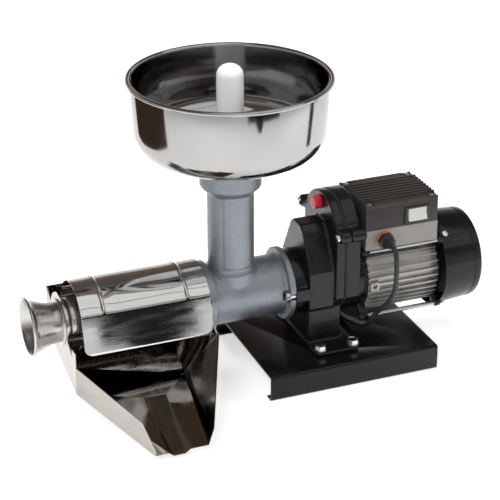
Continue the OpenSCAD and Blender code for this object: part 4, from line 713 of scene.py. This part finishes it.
def makeWorld():  # white behind, also where metal mirrors it low down; above, a brown and dim room
    world = bpy.data.worlds.new("studio")
    scene.world = world
    world.use_nodes = True
    nodes, links = world.node_tree.nodes, world.node_tree.links
    room, seenBack = nodes["Background"], nodes.new("ShaderNodeBackground")
    seenBack.inputs["Strength"].default_value = 1.0
    seenBack.inputs["Color"].default_value = (1, 1, 1, 1)
    place, split = nodes.new("ShaderNodeTexCoord"), nodes.new("ShaderNodeSeparateXYZ")
    links.new(place.outputs["Generated"], split.inputs[0])
    ramp = nodes.new("ShaderNodeValToRGB")
    stops = ramp.color_ramp.elements
    stops[0].color = (*roomTones[0.0], 1)
    stops[1].color = (*roomTones[1.0], 1)
    for height in sorted(roomTones)[1:-1]:
        stops.new(height).color = (*roomTones[height], 1)
    links.new(split.outputs["Z"], ramp.inputs["Fac"])
    links.new(ramp.outputs["Color"], room.inputs["Color"])
    room.inputs["Strength"].default_value = stage["room"]
    path, pickBack = nodes.new("ShaderNodeLightPath"), nodes.new("ShaderNodeMixShader")
    anyWay = nodes.new("ShaderNodeMath")
    anyWay.operation = "ADD"
    anyWay.use_clamp = True
    links.new(path.outputs["Is Camera Ray"], anyWay.inputs[0])
    links.new(path.outputs["Is Transmission Ray"], anyWay.inputs[1])
    lowDown, mirrored = nodes.new("ShaderNodeMapRange"), nodes.new("ShaderNodeMath")
    lowDown.inputs["From Min"].default_value = stage["whiteTo"]
    lowDown.inputs["From Max"].default_value = stage["roomFrom"]
    lowDown.inputs["To Min"].default_value = 1.0
    lowDown.inputs["To Max"].default_value = 0.0
    links.new(split.outputs["Z"], lowDown.inputs["Value"])
    mirrored.operation = "MULTIPLY_ADD"
    mirrored.use_clamp = True
    links.new(path.outputs["Is Glossy Ray"], mirrored.inputs[0])
    links.new(lowDown.outputs[0], mirrored.inputs[1])
    links.new(anyWay.outputs[0], mirrored.inputs[2])
    links.new(mirrored.outputs[0], pickBack.inputs[0])
    links.new(room.outputs[0], pickBack.inputs[1])
    links.new(seenBack.outputs[0], pickBack.inputs[2])
    links.new(pickBack.outputs[0], nodes["World Output"].inputs["Surface"])


# Lamps light the surfaces only; the cards are what the bright steel mirrors
lamps = {
    "key": ((-1.3, -1.3, 1.9), 1.1, 36.0),
    "side": ((1.7, -0.9, 1.2), 0.9, 16.0),
    "top": ((0.1, 0.5, 2.2), 1.0, 24.0),
}
cards = {
    "darkLeft": ((-0.72, 0.46, 0.17), (0.86, 0.44), (0.10, 0.062, 0.045), 0.7),
    "darkRight": ((0.80, -0.16, 0.18), (0.10, 0.60), (0.030, 0.020, 0.016), 1.0),
    "paleTop": ((0.28, -0.72, 1.50), (2.30, 1.75), (1.0, 0.985, 0.97), 0.95),
    "seamTop": ((0.30, -0.72, 1.16), (2.30, 0.030), (0.02, 0.02, 0.02), 1.0),
    "darkFront": ((0.42, -1.60, 0.30), (1.10, 0.34), (0.018, 0.018, 0.018), 1.0),
    "darkKnee": ((0.273, -1.58, 0.105), (0.218, 0.075), (0.018, 0.018, 0.018), 1.0),
    "darkFoot": ((0.285, -1.58, 0.025), (0.126, 0.110), (0.018, 0.018, 0.018), 1.0),
    "brownTop": ((0.19, 0.34, 1.20), (0.46, 0.32), (0.12, 0.080, 0.060), 0.7),
    "brownBack": ((0.30, 1.50, 0.95), (1.60, 0.30), (0.16, 0.105, 0.08), 1.0),
}
chuteRoof = {"place": (-0.125, -0.112, 0.087), "size": (0.080, 0.105), "colour": (0.10, 0.07, 0.05),
             "level": 0.7}


def makeLamps():
    for name, (place, size, power) in lamps.items():
        aim = Vector(stage["aim"])
        bpy.ops.object.light_add(type="AREA", location=place,
                                 rotation=(aim - Vector(place)).to_track_quat("-Z", "Y").to_euler())
        lamp = bpy.context.object
        lamp.name = name + "Lamp"
        lamp.data.size = size
        lamp.data.energy = power
        lamp.visible_glossy = False


def makeCard(name, place, turn, size, colour, level):
    bpy.ops.mesh.primitive_plane_add(size=1, location=place, rotation=turn)
    card = bpy.context.object
    card.name = name + "Card"
    card.scale = (*size, 1)
    material = bpy.data.materials.new(name + "Paper")
    material.use_nodes = True
    nodes, links = material.node_tree.nodes, material.node_tree.links
    glow = nodes.new("ShaderNodeEmission")
    glow.inputs["Color"].default_value = (*colour, 1)
    glow.inputs["Strength"].default_value = level
    links.new(glow.outputs[0], nodes["Material Output"].inputs["Surface"])
    card.data.materials.append(material)
    card.visible_camera = card.visible_diffuse = card.visible_shadow = card.visible_transmission = False


def makeCards():
    for name, (place, size, colour, level) in cards.items():
        facing = Vector(stage["cardAim"]) - Vector(place)
        makeCard(name, place, facing.to_track_quat("Z", "Y").to_euler(), size, colour, level)
    c = chuteRoof  # flat over the chute, what its pressed channel mirrors
    makeCard("chuteRoof", c["place"], (0, 0, 0), c["size"], c["colour"], c["level"])


makeFloor()
makeWorld()
makeLamps()
makeCards()
print("stage made")
